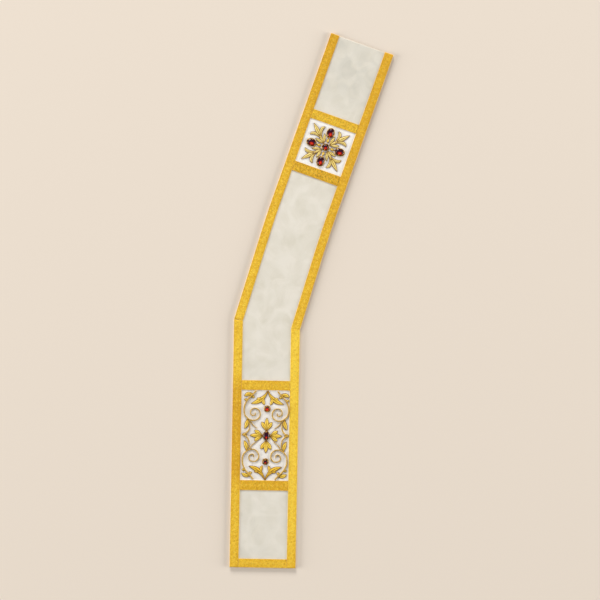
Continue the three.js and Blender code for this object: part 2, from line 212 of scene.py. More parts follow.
# Ogee figure of the damask: 0 to 1
def ogeeFigure(place, across, along, look):
    scale, bend = look["wander"]
    wander = times(noiseAt(place, scale), bend)
    turnX = times(plus(across, wander), math.tau / look["figureWidth"])
    turnY = times(plus(along, wander), math.tau / look["figureLength"])
    ogee = plus(calc("COSINE", turnX), calc("COSINE", turnY))
    veins = calc("SINE", times(ogee, look["veins"]))
    return within(plus(times(unsigned(ogee), 0.5), times(veins, 0.12)), 0.25, 0.5)


def makeDamask():
    look = damask
    material, tree, shader = newMaterial("creamDamask", look["finish"])
    place, across, along = clothPlace(tree)
    patchy = mapped(noiseAt(place, look["cloudScale"], 3.0, 1.2), 0.35, 0.7)
    base = mixed(patchy, look["light"], look["deep"])
    # Painted shade: the cloth darkens towards the hem and the fold, in uneven patches that stand in for the
    # damask's changing sheen
    cloudy = mapped(noiseAt(place, look["paintedShadeCloudScale"], 1.0, 0.8), 0.35, 0.65, 0.45, 1.55)
    base = mixed(times(attribute(tree, "paintedClothShade"), cloudy), base, look["shaded"])
    figure = ogeeFigure(place, across, along, look)
    feed(mixed(times(figure, look["figureShare"]), base, look["figure"]), shader.inputs["Base Color"])
    weave = times(threads(along, look["threadPitch"]), threads(across, look["threadPitch"]))
    addBump(shader, plus(times(weave, look["weaveShare"]), figure), look["relief"])
    return material


satin = {
    "light": colour(251, 249, 245),
    "deep": colour(240, 237, 232),
    # colour of the painted shade, darker and warmer than the white
    "shaded": colour(240, 222, 200),
    "cloudScale": 7.0,
    "slubScale": 60.0,
    "threadPitch": 0.5,
    "ribShare": 0.3,
    "relief": 0.06,  # mm
    "finish": {"Roughness": 0.75, "Specular IOR Level": 0.22, "Sheen Weight": 0.05, "Sheen Roughness": 0.35},
}


def makeSatin():
    look = satin
    material, tree, shader = newMaterial("whiteSatin", look["finish"])
    place, across, along = clothPlace(tree)
    base = mixed(noiseAt(place, look["cloudScale"], 4.0, 0.3), look["light"], look["deep"])
    # Partly painted shade, partly a warmer white: the panel darkens where the share along the stole is set,
    # most in the tall panel
    feed(mixed(attribute(tree, "paintedClothShade"), base, look["shaded"]), shader.inputs["Base Color"])
    rib = threads(plus(along, times(across, 0.5)), look["threadPitch"])
    addBump(shader, plus(times(rib, look["ribShare"]), noiseAt(place, look["slubScale"])), look["relief"])
    return material


galloonLook = {
    "deep": colour(218, 160, 24),
    "gold": colour(238, 190, 46),
    "bright": colour(253, 216, 70),
    "petal": colour(255, 226, 100),
    "dark": colour(128, 106, 4),
    "repeat": 9.4,  # mm from rosette to rosette
    "petals": 6,
    "rosette": 2.4,
    "petalDepth": 0.55,
    "scrollAt": 4.9,
    "scrollRadius": 1.5,
    "selvedge": 7.9,
    "twillPitch": 0.7,
    "petalShare": 0.2,
    "figureShare": 0.55,
    "patches": (9.0, 0.7),  # scale and strength of broad and of fine unevenness
    "mottle": (26.0, 2.0),
    "fleckTurn": 40.0,  # degrees
    "fleckScale": 24.0,
    "fleckRange": (0.36, 0.52),
    "plainShare": 0.2,  # how dark the figure's marks are where there is no fleck
    "relief": 0.12,  # mm
    "finish": {
        "Roughness": 0.62, "Metallic": 0.05, "Specular IOR Level": 0.3,
        "Sheen Weight": 0.04, "Sheen Roughness": 0.3,
    },
}


# Woven rosettes down the middle of the ribbon, with a pair of scrolls between each two
def makeGalloon():
    look = galloonLook
    material, tree, shader = newMaterial("galloonGold", look["finish"])
    place, across, along = clothPlace(tree)
    down = times(minus(calc("FRACT", calc("DIVIDE", along, look["repeat"])), 0.5), look["repeat"])
    radius = hypotenuse(across, down)
    lobes = calc("COSINE", times(calc("ARCTAN2", down, across), float(look["petals"])))
    off = minus(radius, plus(times(lobes, look["petalDepth"]), look["rosette"]))
    petal = within(off, -0.3, 0.2)
    outline = within(unsigned(off), 0.2, 0.5)
    eye = within(radius, 0.5, 0.9)
    border = minus(unsigned(down), look["repeat"] / 2)
    curl = hypotenuse(minus(unsigned(across), look["scrollAt"]), border)
    scroll = within(unsigned(minus(curl, look["scrollRadius"])), 0.2, 0.5)
    seed = within(curl, 0.3, 0.6)
    lozenge = within(plus(unsigned(across), unsigned(border)), 0.6, 1.1)
    inner = within(unsigned(across), look["selvedge"] - 0.3, look["selvedge"])
    corded = within(unsigned(minus(unsigned(across), look["selvedge"])), 0.15, 0.4)
    marks = outline
    for figure in (eye, scroll, seed, lozenge):
        marks = calc("MAXIMUM", marks, figure)
    marks = calc("MAXIMUM", times(marks, inner), corded)
    broadScale, broadShare = look["patches"]
    fineScale, fineShare = look["mottle"]
    broad = times(minus(noiseAt(place, broadScale, 4.0, 0.8), 0.5), broadShare)
    fine = times(minus(noiseAt(place, fineScale, 2.0, 1.2), 0.5), fineShare)
    # The tone is partly painted sheen and shade along each ribbon, with uneven broad and fine patches
    tone = plus(attribute(tree, "ribbonToneAndLight"), plus(broad, fine))
    base = rampAt(tone, ((0.0, look["deep"]), (0.5, look["gold"]), (1.0, look["bright"])))
    base = mixed(times(petal, look["petalShare"]), base, look["petal"])
    lean = (0.0, 0.0, math.radians(look["fleckTurn"]))
    slanted = {"Vector": place, "Rotation": lean, "Scale": (1.0, 2.4, 1.0)}
    strokes = addStep(tree, "ShaderNodeMapping", slanted)
    fleck = within(noiseAt(strokes, look["fleckScale"], 3.0), *look["fleckRange"])
    share = times(marks, plus(times(fleck, 0.5), look["plainShare"]))
    share = calc("MAXIMUM", share, times(times(fleck, inner), attribute(tree, "ribbonWear")))
    feed(mixed(times(share, look["figureShare"]), base, look["dark"]), shader.inputs["Base Color"])
    twill = threads(plus(across, along), look["twillPitch"])
    addBump(shader, plus(minus(times(petal, 0.8), marks), times(twill, 0.35)), look["relief"])
    return material


fibreScale, strandScale = 2600.0, 2400.0
fibreRelief = 0.04  # mm


# Thread in the satin stitch: each thread's own tone, with painted shade along the midribs, towards the edges
# and roots, between threads and where leaves meet, is kept on the mesh
def makeThread(name, look):
    material, tree, shader = newMaterial(name, look["finish"])
    stops = ((0.1, look["shadow"]), (0.55, look["gold"]), (0.95, look["bright"]))
    feed(rampAt(attribute(tree, "threadToneAndShade"), stops), shader.inputs["Base Color"])
    addBump(shader, noiseAt(objectPlace(tree), fibreScale), fibreRelief)
    return material


goldThread = {
    "shadow": colour(110, 60, 6),
    "gold": colour(252, 200, 46),
    "bright": colour(255, 238, 116),
    "finish": {"Roughness": 0.36, "Metallic": 0.05, "Specular IOR Level": 0.7, "Anisotropic": 0.3},
}
paleThread = {
    "shadow": colour(106, 64, 14),
    "gold": colour(244, 210, 104),
    "bright": colour(255, 242, 166),
    "finish": {"Roughness": 0.4, "Metallic": 0.05, "Specular IOR Level": 0.6, "Anisotropic": 0.3},
}


# A plain strand, brown-gold or gold, with darker and lighter stretches
def makeStrand(name, look):
    material, tree, shader = newMaterial(name, look["finish"])
    place = objectPlace(tree)
    feed(mixed(noiseAt(place, look["patch"], 3.0), look["deep"], look["light"]), shader.inputs["Base Color"])
    addBump(shader, noiseAt(place, strandScale), fibreRelief)
    return material


# The couched cord round each leaf: a real cord, dyed dark brown so that it also stands in as painted shadow
# along the leaves' edges
outlineStrand = {
    "deep": colour(96, 56, 10),
    "light": colour(150, 98, 28),
    "patch": 180.0,
    "finish": {"Roughness": 0.45, "Metallic": 0.3},
}
stemStrand = {
    "deep": colour(140, 98, 24),
    "light": colour(228, 190, 76),
    "patch": 160.0,
    "finish": {"Roughness": 0.4, "Metallic": 0.2},
}
stitchStrand = {
    "deep": colour(206, 156, 36),
    "light": colour(246, 208, 86),
    "patch": 90.0,
    "finish": {"Roughness": 0.45, "Metallic": 0.1},
}

settingLook = {
    "deep": colour(126, 84, 20),
    "light": colour(222, 172, 78),
    "patch": 220.0,
    "finish": {"Roughness": 0.28, "Metallic": 0.8},
}

garnetLook = {
    "dark": colour(46, 6, 28),
    "red": colour(150, 10, 18),
    # colours of the painted glow, from deep red to its brightest
    "glow": colour(250, 66, 26),
    "cloudScale": 420.0,
    "cloudShare": 0.3,
    "finish": {"Roughness": 0.05, "IOR": 1.5, "Specular IOR Level": 0.38},
}


# A foiled stone: nearly black, with a painted red glow on its lower side, painted light standing in for what
# the foil sends back
def makeGarnet():
    look = garnetLook
    material, tree, shader = newMaterial("garnetGlass", look["finish"])
    cloud = times(minus(noiseAt(objectPlace(tree), look["cloudScale"]), 0.5), look["cloudShare"])
    stops = ((0.1, look["dark"]), (0.42, look["red"]), (0.8, look["glow"]))
    feed(rampAt(plus(attribute(tree, "paintedGlow"), cloud), stops), shader.inputs["Base Color"])
    return material


liningLook = {
    "light": colour(226, 219, 204),
    "deep": colour(204, 195, 176),
    "cloudScale": 4.0,
    "twillPitch": 1.1,
    "relief": 0.06,  # mm
    "finish": {"Roughness": 0.8, "Sheen Weight": 0.15, "Sheen Roughness": 0.5},
}


def makeLining():
    look = liningLook
    material, tree, shader = newMaterial("liningTwill", look["finish"])
    place, across, along = clothPlace(tree)
    cloudy = noiseAt(place, look["cloudScale"], 3.0)
    feed(mixed(cloudy, look["light"], look["deep"]), shader.inputs["Base Color"])
    addBump(shader, threads(plus(across, along), look["twillPitch"]), look["relief"])
    return material


materials = {
    "damask": makeDamask(),
    "satin": makeSatin(),
    "galloon": makeGalloon(),
    "goldThread": makeThread("goldThread", goldThread),
    "paleThread": makeThread("paleThread", paleThread),
    "outline": makeStrand("outlineStrand", outlineStrand),
    "stem": makeStrand("stemStrand", stemStrand),
    "stitch": makeStrand("stitchStrand", stitchStrand),
    "setting": makeStrand("settingGold", settingLook),
    "garnet": makeGarnet(),
    "lining": makeLining(),
}
print("materials made")


# Mesh helpers

# Turns the faces outwards where the closed body they make is inside out
def outward(points, faces):
    volume = 0.0
    for face in faces:
        corners = points[face]
        for second, third in zip(corners[1:-1], corners[2:]):
            volume += float(np.dot(corners[0], np.cross(second, third)))
    return faces if volume > 0 else [face[::-1] for face in faces]


# Quads between rings of equal size, each ring closed
def ringFaces(rings, size):
    start = np.arange(rings - 1)[:, None] * size
    corner = np.arange(size)[None, :]
    beside = (corner + 1) % size
    quads = np.stack([start + corner, start + beside, start + size + beside, start + size + corner], axis=-1)
    return quads.reshape(-1, 4).tolist()


# A piece is named for its node, such as sprayNe for spray_ne
def pieceName(node):
    first, *others = node.split("_")
    return first + "".join(word.capitalize() for word in others)


# points in mm; the map and the tones are given for each point, zones for each face
def makePiece(node, points, faces, finish, clothMap=None, tones=None, zones=None, name=None):
    name = name or pieceName(node)
    mesh = bpy.data.meshes.new(name)
    mesh.from_pydata((points * mm).tolist(), [], faces)
    mesh.materials.append(materials[finish])
    if clothMap is not None:
        corners = np.empty(len(mesh.loops), dtype=np.int32)
        mesh.loops.foreach_get("vertex_index", corners)
        layer = mesh.uv_layers.new(name="clothMap")
        layer.data.foreach_set("uv", (clothMap[corners] / clothMapUnit).ravel())
    if zones is not None:
        for other in ("galloon", "damask"):
            mesh.materials.append(materials[other])
        mesh.polygons.foreach_set("material_index", zones)
    for label, values in (tones or {}).items():
        mesh.attributes.new(label, "FLOAT", "POINT").data.foreach_set("value", values)
    mesh.polygons.foreach_set("use_smooth", [True] * len(mesh.polygons))
    mesh.validate()
    piece = bpy.data.objects.new(name, mesh)
    scene.collection.objects.link(piece)
    return dress(piece, [node])


def dress(piece, nodes=()):
    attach(piece, "root")
    if nodes:
        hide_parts(*nodes)
    return piece


# The stole's own line

stole = {
    "length": 1145.0,
    "width": 140.0,
    "galloonWidth": 18.75,
    "hemX": -103.911,
    "hemY": -566.724,
    "hipAt": 516.0,
    "hipReach": 30.0,  # mm each side of the hip in which the threads fan round the bend
    "easeFrom": 681.0,
    "easeTo": 793.0,
    "easeSteps": 4,
    "easeBlend": 14.0,  # mm, how far the rows' lean trails the course's
    "hangLean": 1.06,  # degrees to the right of +Y
    "chestLean": 17.25,
    "shoulderLean": 19.6,
    "foldHeight": 2.6,
    "groundLow": 2.75,
    "groundHigh": 3.9,
    "galloonLow": 3.95,
    "galloonHigh": 5.2,
}
halfWidth = stole["width"] / 2
fieldHalf = halfWidth - stole["galloonWidth"]
foldStart = stole["length"] - stole["foldHeight"]


# Courses of the line: where each starts, its lean, and the start's place
def makeCourses():
    starts, leans = [0.0, stole["hipAt"]], [stole["hangLean"], stole["chestLean"]]
    step = (stole["easeTo"] - stole["easeFrom"]) / stole["easeSteps"]
    spread = stole["shoulderLean"] - stole["chestLean"]
    for index in range(stole["easeSteps"]):
        starts.append(stole["easeFrom"] + index * step)
        leans.append(stole["chestLean"] + spread * (index + 0.5) / stole["easeSteps"])
    starts.append(stole["easeTo"])
    leans.append(stole["shoulderLean"])
    starts, leans = np.array(starts), np.radians(leans)
    lengths = np.diff(np.append(starts, stole["length"]))
    xs = stole["hemX"] + np.concatenate([[0.0], np.cumsum(lengths * np.sin(leans))])
    ys = stole["hemY"] + np.concatenate([[0.0], np.cumsum(lengths * np.cos(leans))])
    return starts, leans, xs, ys


courseStarts, courseLeans, courseXs, courseYs = makeCourses()

# Rows across the cloth lean with the course, and split the bend at each of its ends
rowStops = [0.0, stole["hipAt"] - stole["hipReach"], stole["hipAt"], stole["hipAt"] + stole["hipReach"]]
blend = stole["easeBlend"]
rowStops += [stole["easeFrom"] - blend, *courseStarts[2:-1] + blend, stole["easeTo"] + blend, stole["length"]]
hangLean, chestLean = courseLeans[0], courseLeans[1]
rowLeans = [hangLean, hangLean, (hangLean + chestLean) / 2, chestLean, chestLean]
rowLeans += [*courseLeans[2:-1], courseLeans[-1], courseLeans[-1]]


# Places points given by their distance along, offset across, height, and turn round the fold.
# It also gives how far along its own course each point lies, where the cloth is cut straight.
def place(at, offset, height, turn=0.0):
    at, offset, height, turn = np.broadcast_arrays(at, offset, height, turn)
    course = np.clip(np.searchsorted(courseStarts, at, side="right") - 1, 0, len(courseLeans) - 1)
    lean = courseLeans[course]
    rowLean = np.interp(at, rowStops, rowLeans)
    reach = offset / np.cos(rowLean - lean)
    gone = at - courseStarts[course]
    x = courseXs[course] + gone * np.sin(lean) + reach * np.cos(rowLean)
    y = courseYs[course] + gone * np.cos(lean) - reach * np.sin(rowLean)
    rise = height - stole["foldHeight"]
    x = x + rise * np.sin(turn) * np.sin(lean)
    y = y + rise * np.sin(turn) * np.cos(lean)
    z = stole["foldHeight"] + rise * np.cos(turn)
    straight = at + reach * np.sin(lean - rowLean)
    return np.stack([x, y, z], axis=-1), straight


# A smooth, uneven swell over the cloth, from -1 to 1, the same each run
def swell(at, offset, size, seed):
    waves, gain = 7, 1.6
    source = np.random.default_rng(seed)
    total = np.zeros(np.broadcast(at, offset).shape)
    for _ in range(waves):
        heading = source.uniform(0, math.tau)
        length = size * source.uniform(0.7, 1.6)
        phase = source.uniform(0, math.tau)
        total += np.sin(math.tau * (at * math.cos(heading) + offset * math.sin(heading)) / length + phase)
    return total / waves * gain


# Cloth strips: closed, with eased edges. A ring goes over the top, down the right edge and back below.

stripSettings = {
    "endEase": 0.45,  # share of the thickness left at a cut end
    "edgeLift": 0.25,  # mm
    "bulge": 0.12,
    "endRow": 0.35,
    "foldTurns": 14,
    "foldMap": 1.5,  # mm of the map for each radian round the fold
}


# middleHeight is that of the side edges. put places the points, with the arguments and results of place.
def stripRings(rows, turns, columns, low, tops, middleHeight=None, put=place):
    look = stripSettings
    ease = np.ones((len(rows), 1))
    ease[[0, -1]] = look["endEase"]
    if middleHeight is None:
        middleHeight = (low + tops.mean(axis=1, keepdims=True)) / 2
    top = middleHeight + (tops - middleHeight) * ease
    below = middleHeight + (low - middleHeight) * ease + np.zeros_like(tops)
    below[:, [0, -1]] += look["edgeLift"]
    at, turn = rows[:, None], turns[:, None]
    widest = columns[-1] + look["bulge"], columns[0] - look["bulge"]
    upper, straight = put(at, columns[None, :], top, turn)
    right, straightRight = put(at, widest[0], middleHeight, turn)
    lower, _ = put(at, columns[None, ::-1], below[:, ::-1], turn)
    left, straightLeft = put(at, widest[1], middleHeight, turn)
    rings = np.concatenate([upper, right, lower, left], axis=1)
    along = np.concatenate([straight, straightRight, straight[:, ::-1], straightLeft], axis=1)
    offsets = np.concatenate([columns, [widest[0]], columns[::-1], [widest[1]]])
    return rings, along, np.broadcast_to(offsets, along.shape)


def stripFaces(rows, count):
    size = 2 * count + 2
    faces = ringFaces(rows, size)
    for ring, flip in ((0, 1), (rows - 1, -1)):
        first = ring * size
        last = first + 2 * count
        ends = [[first + c, first + c + 1, last - c - 1, last - c] for c in range(count - 1)]
        ends.append([first + count - 1, first + count, first + count + 1])
        ends.append([last + 1, last, first])
        faces += [face[::-flip] for face in ends]
    return faces


# One strip as a piece. across and along are the cloth's own place of each point.
def makeStrip(node, rings, across, along, finish, tones, flat, overFold, under, name=None):
    points = rings.reshape(-1, 3)
    faces = outward(points, stripFaces(len(rings), rings.shape[1] // 2 - 1))
    clothMap = np.stack([across, along], axis=-1).reshape(-1, 2)
    piece = makePiece(node, points, faces, finish, clothMap, tones, name=name)


# Rows along a piece: its two ends close to the next row, and the turns of the fold if it goes over
def clothRows(start, end, step, overFold):
    look = stripSettings
    flatEnd = foldStart if overFold else end
    lastRow = flatEnd if overFold else flatEnd - look["endRow"]
    rows = [start, *np.linspace(start + look["endRow"], lastRow, max(2, round((flatEnd - start) / step)))]
    if not overFold:
        return np.array([*rows, end]), np.zeros(len(rows) + 1)
    extra = np.linspace(0, math.pi, look["foldTurns"] + 1)[1:]
    return np.array(rows + [foldStart] * len(extra)), np.concatenate([np.zeros(len(rows)), extra])


# Way round the fold adds to the distance along for the map
def mapAlong(along, turns):
    return along + turns[:, None] * stripSettings["foldMap"]


# Cream and white cloth between the ribbons, pieced end to end under the bars

groundSettings = {
    "step": 3.2,
    "columnStep": 2.6,
    "edge": 69.7,
    "edgeRow": 0.4,
    "edgeDrop": 0.3,
    "sunk": 0.1,  # mm below its full height, under the swells
    "seam": 0.3,
    "broadSwell": 0.13,  # mm, soft unevenness of the laid cloth
    "broadSize": 85.0,
    "pucker": 0.07,  # mm, gathers beside the sewn ribbon
    "puckerLength": 8.5,
    "puckerReach": 6.5,
    "puckerShift": 2.5,  # radians by which the gathers come early or late
    # Sizes in mm of the swells that shift the gathers and make them stronger or weaker
    "shiftSize": 60.0,
    "strengthSize": 120.0,
    "foldAllowance": 4.0,
    # Share of the painted shade along the stole, darkest near the hem and the fold, in mm from the hem
    "paintedShadeStops": [(0, 0.55), (60, 0.25), (174, 0.15), (410, 0.2), (480, 0.05), (985, 0.05), (1050, 0.6)],
    "pieces": [
        ("creamEnd", "ground_end", 0.0, 174.5, "damask"),
        ("tallPanel", "panel_cross", 174.5, 386.8, "satin"),
        ("creamChest", "ground_chest", 386.8, 853.2, "damask"),
        ("squarePanel", "panel_square", 853.2, 970.3, "satin"),
        ("creamShoulder", "ground_shoulder", 970.3, 1145.0, "damask"),
    ],
}


def groundRelief(at, offset):
    look = groundSettings
    broad = swell(at, offset, look["broadSize"], 4) * look["broadSwell"]
    inside = np.clip(fieldHalf - np.abs(offset), 0, None)
    shift = look["puckerShift"] * swell(at, offset * 0.2, look["shiftSize"], 9)
    gather = np.sin(math.tau * at / look["puckerLength"] + shift)
    strength = 0.5 + 0.5 * swell(at, offset * 0.1, look["strengthSize"], 12)
    pucker = gather * strength * np.exp(-inside / look["puckerReach"]) * look["pucker"]
    edgeDrop = -look["edgeDrop"] * (np.abs(offset) > look["edge"] - look["edgeRow"] / 2)
    return broad + pucker + edgeDrop - look["sunk"]


def makeGround():
    look = groundSettings
    edge, gap = look["edge"], look["seam"] / 2
    count = round(2 * edge / look["columnStep"])
    inner = edge - look["edgeRow"]
    columns = np.array([-edge, *np.linspace(-inner, inner, count), edge])
    for name, node, start, end, finish in look["pieces"]:
        overFold = end == stole["length"]
        rows, turns = clothRows(start + gap, end - gap, look["step"], overFold)
        tops = stole["groundHigh"] + groundRelief(rows[:, None], columns[None, :])
        tops = np.where(turns[:, None] > 0, np.minimum(tops, stole["groundHigh"]), tops)
        rings, along, offsets = stripRings(rows, turns, columns, stole["groundLow"], tops)
        plain = np.broadcast_to(mapAlong(rows[:, None], turns), along.shape)
        # painted shade share for each point, by its distance from the hem
        tones = {"paintedClothShade": np.interp(plain.ravel(), *zip(*look["paintedShadeStops"]))}
        flat = (2 * edge * mm, (end - start + (look["foldAllowance"] if overFold else 0)) * mm)
        makeStrip(node, rings, offsets, plain, finish, tones, flat, overFold, ["hiddenLayers"], name)
    print("ground cloth made")


# The lining, the interlining and the folded-back half: two rounded layers with a groove between them

hiddenSettings = {
    "edge": 69.4,
    "from": 0.6,
    "to": 1142.1,
    "step": 6.0,
    "layers": [(0.0, 1.28), (1.32, 2.6)],  # mm, low and high of each layer
    "bulge": 0.9,
    "levels": 6,
    "flat": (0.139, 1.1415),  # m
}


def makeHiddenLayers():
    look = hiddenSettings
    levels = []
    for low, high in look["layers"]:
        for angle in np.linspace(-math.pi / 2, math.pi / 2, look["levels"]):
            height = (low + high) / 2 + math.sin(angle) * (high - low) / 2
            levels.append((height, look["bulge"] * (1 - math.cos(angle))))
    rowCount = round((look["to"] - look["from"]) / look["step"])
    rings, maps = [], []
    for height, inset in levels:
        rows = np.linspace(look["from"] + inset, look["to"] - inset, rowCount)
        edge = look["edge"] - inset
        right, _ = place(rows, edge, height)
        left, _ = place(rows[::-1], -edge, height)
        rings.append(np.concatenate([right, left]))
        offsets = np.concatenate([np.full(rowCount, edge + height), np.full(rowCount, -edge - height)])
        maps.append(np.stack([offsets, np.concatenate([rows, rows[::-1]])], axis=-1))
    size = 2 * rowCount
    faces = ringFaces(len(rings), size)
    points, clothMap = list(np.concatenate(rings)), list(np.concatenate(maps))
    zones = [1 if face[0] < (look["levels"] - 1) * size else 0 for face in faces]
    # Underside and top: three strips each, the outer two as wide as the ribbon
    for ring, zoneRow, flip in ((0, (1, 2, 1), 1), (len(rings) - 1, (0, 0, 0), -1)):
        height, inset = levels[ring]
        rows = np.linspace(look["from"] + inset, look["to"] - inset, rowCount)
        columns = [[ring * size + row for row in range(rowCount)]]
        for offset in (fieldHalf, -fieldHalf):
            spots, _ = place(rows, offset, height)
            columns.append(list(range(len(points), len(points) + rowCount)))
            points += list(spots)
            clothMap += [np.array([offset, row]) for row in rows]
        columns.append([ring * size + size - 1 - row for row in range(rowCount)])
        for zone, (first, second) in zip(zoneRow, zip(columns[:-1], columns[1:])):
            for row in range(rowCount - 1):
                face = [first[row], first[row + 1], second[row + 1], second[row]]
                faces.append(face[::flip])
                zones.append(zone)
        for row, way in ((0, 1), (rowCount - 1, -1)):
            face = [column[row] for column in columns]
            faces.append(face[:: flip * way])
            zones.append(zoneRow[0])
    points = np.array(points)
    faces = outward(points, faces)
    piece = makePiece("hidden_layers", points, faces, "lining", np.array(clothMap), zones=zones)
    print("hidden layers made")


# Ribbons and bars of galloon

galloonSettings = {
    "step": 2.5,
    "swell": 0.07,
    "swellSize": 38.0,
    "mitreGap": 0.15,  # mm each side of the hip
    "foldAllowance": 7.0,
    "foldStretch": 1.6,  # of the map round the fold, against the cloth's
    # Half of the ribbon's section: distance from its middle, and height below its top
    "section": [(9.25, -0.4), (9.08, -0.1), (8.75, 0.0), (8.4, -0.1), (8.15, -0.32), (7.8, -0.16),
                (6.6, -0.1), (4.6, -0.04), (2.4, -0.01), (0.0, 0.0)],
    "bars": [
        ("galloon_hem", 0.0, 18.5, "creamEnd"),
        ("bar_below_cross", 163.9, 185.1, "tallPanel"),
        ("bar_above_cross", 376.6, 397.0, "tallPanel"),
        ("bar_below_square", 842.7, 863.7, "squarePanel"),
        ("bar_above_square", 960.4, 980.2, "squarePanel"),
    ],
    "barHalf": 51.05,
    "barEndRow": 0.55,
    # Tone along each ribbon and of each bar, partly painted light: painted sheen and shade make the right
    # ribbon brighter than the left and dim both towards the fold; 0 deep, 0.5 gold, 1 bright
    "toneStops": {
        "left": [
            (0, 0.5), (165, 0.5), (205, 0.1), (375, 0.1), (410, 0.6), (620, 0.5), (850, 0.35), (1145, 0.05),
        ],
        "right": [(0, 0.5), (120, 0.75), (500, 0.85), (540, 0.45), (720, 0.35), (850, 0.2), (1145, 0.15)],
        "bars": [(0, 0.5), (174, 0.25), (387, 0.4), (853, 0.2), (970, 0.45)],
    },
    # Share of dark flecks along the same pieces
    "wearStops": {
        "left": [(0, 0.3), (205, 0.35), (375, 0.35), (410, 0.15), (800, 0.3), (1145, 0.7)],
        "right": [(0, 0.2), (500, 0.1), (850, 0.3), (1145, 0.4)],
        "bars": [(0, 0.45), (174, 0.6), (387, 0.4), (853, 1.35), (970, 1.0)],
    },
}


def ribbonTones(label, at):
    kinds = {"ribbonToneAndLight": "toneStops", "ribbonWear": "wearStops"}
    return {tone: np.interp(at, *zip(*galloonSettings[stops][label])) for tone, stops in kinds.items()}


def galloonSection():
    half = galloonSettings["section"]
    across = np.array([-u for u, _ in half] + [u for u, _ in half[-2::-1]])
    below = np.array([h for _, h in half] + [h for _, h in half[-2::-1]])
    return across, below


# Height of the ribbon's top at a distance from its middle
def galloonTop(fromMiddle):
    across, below = galloonSection()
    return stole["galloonHigh"] + np.interp(fromMiddle, across, below)


# The top of a ribbon or bar, a little uneven
def galloonTops(rows, columns, seed):
    look = galloonSettings
    _, below = galloonSection()
    wave = swell(rows[:, None], columns[None, :] * 0.6, look["swellSize"], seed) * look["swell"]
    return stole["galloonHigh"] + below[None, :] + wave - look["swell"]


def makeSideGalloons():
    look = galloonSettings
    across, _ = galloonSection()
    hip, gap = stole["hipAt"], look["mitreGap"]
    parts = [
        ("hang", 0.0, hip - gap, ["creamEnd", "creamChest"]),
        ("shoulder", hip + gap, foldStart, ["creamChest", "creamShoulder"]),
    ]
    for side, label in ((-1, "left"), (1, "right")):
        middleOffset = side * (halfWidth - stole["galloonWidth"] / 2)
        for part, start, end, under in parts:
            overFold = end == foldStart
            rows, turns = clothRows(start, end, look["step"], overFold)
            tops = galloonTops(rows, middleOffset + across, 21 + side)
            rings, along, offsets = stripRings(rows, turns, middleOffset + across, stole["galloonLow"], tops)
            along = mapAlong(along, turns * look["foldStretch"])
            tones = ribbonTones(label, along.ravel())
            length = end - start + (look["foldAllowance"] if overFold else 0)
            flat = (stole["galloonWidth"] * mm, length * mm)
            node = f"galloon_{label}_{part}"
            makeStrip(node, rings, offsets - middleOffset, along, "galloon", tones, flat, overFold, under)
    print("side ribbons made")


# A bar runs across the stole, so its own length lies along the rows
def makeBars():
    look = galloonSettings
    across, _ = galloonSection()
    half = look["barHalf"]
    inner = half - look["barEndRow"]
    lengths = np.array([-half, *np.arange(-inner, inner + 0.1, look["step"]), half])
    around = np.concatenate([across, [across[-1]], across[::-1], [across[0]]])
    middleHeight = (stole["galloonLow"] + stole["galloonHigh"]) / 2
    for node, start, end, under in look["bars"]:
        middle = (start + end) / 2
        scale = (end - start) / (2 * across[-1] + 2 * stripSettings["bulge"])

        def put(at, offset, height, turn):
            return place(middle + offset * scale, at, height, turn)

        tops = galloonTops(lengths, across, int(start))
        still = np.zeros(len(lengths))
        rings, _, _ = stripRings(lengths, still, across, stole["galloonLow"], tops, middleHeight, put)
        maps = np.broadcast_arrays(around[None, :], lengths[:, None] + middle)
        tones = ribbonTones("bars", np.full(maps[0].size, middle))
        flat = ((end - start) * mm, 2 * half * mm)
        makeStrip(node, rings, *maps, "galloon", tones, flat, False, [under])
    print("bars made")


# Geometry Nodes: something repeated along a path, and a twisted cord along a path

def newTree(name, inputs):
    tree = bpy.data.node_groups.new(name, "GeometryNodeTree")
    for label, kind in {"Path": "Geometry", **inputs, "Material": "Material"}.items():
        tree.interface.new_socket(name=label, in_out="INPUT", socket_type="NodeSocket" + kind)
    tree.interface.new_socket(name="Geometry", in_out="OUTPUT", socket_type="NodeSocketGeometry")
    return tree, tree.nodes.new("NodeGroupInput").outputs, tree.nodes.new("NodeGroupOutput").inputs


# The path as a curve, with points set out evenly
def pathCurve(tree, given, spacing):
    curve = addStep(tree, "GeometryNodeMeshToCurve", {"Mesh": given["Path"]})
    values = {"Curve": curve, "Length": given[spacing]}
    return addStep(tree, "GeometryNodeResampleCurve", values, mode="LENGTH")


def closeTree(tree, geometry, given, result):
    real = addStep(tree, "GeometryNodeRealizeInstances", {"Geometry": geometry})
    dyed = addStep(tree, "GeometryNodeSetMaterial", {"Geometry": real, "Material": given["Material"]})
    feed(dyed, result["Geometry"])
    return tree


def makeRepeatTree():
    inputs = {**dict.fromkeys(("Spacing", "Length", "Width", "Height", "Uneven"), "Float"), "Seed": "Int"}
    tree, given, result = newTree("repeatAlongPath", inputs)
    ball = addStep(tree, "GeometryNodeMeshUVSphere", {"Segments": 8, "Rings": 5, "Radius": 0.5})
    tangent = addStep(tree, "GeometryNodeInputTangent")
    draw = {2: minus(1.0, given["Uneven"]), 3: plus(1.0, given["Uneven"]), "Seed": given["Seed"]}
    luck = addNode(tree, "FunctionNodeRandomValue", draw, data_type="FLOAT").outputs[1]
    size = {"X": times(given["Length"], luck), "Y": given["Width"], "Z": given["Height"]}
    spots = {
        "Points": pathCurve(tree, given, "Spacing"),
        "Instance": addStep(tree, "GeometryNodeSetShadeSmooth", {"Geometry": ball}),
        "Rotation": addStep(tree, "FunctionNodeAlignRotationToVector", {"Vector": tangent}, axis="X"),
        "Scale": addStep(tree, "ShaderNodeCombineXYZ", size),
    }
    return closeTree(tree, addStep(tree, "GeometryNodeInstanceOnPoints", spots), given, result)


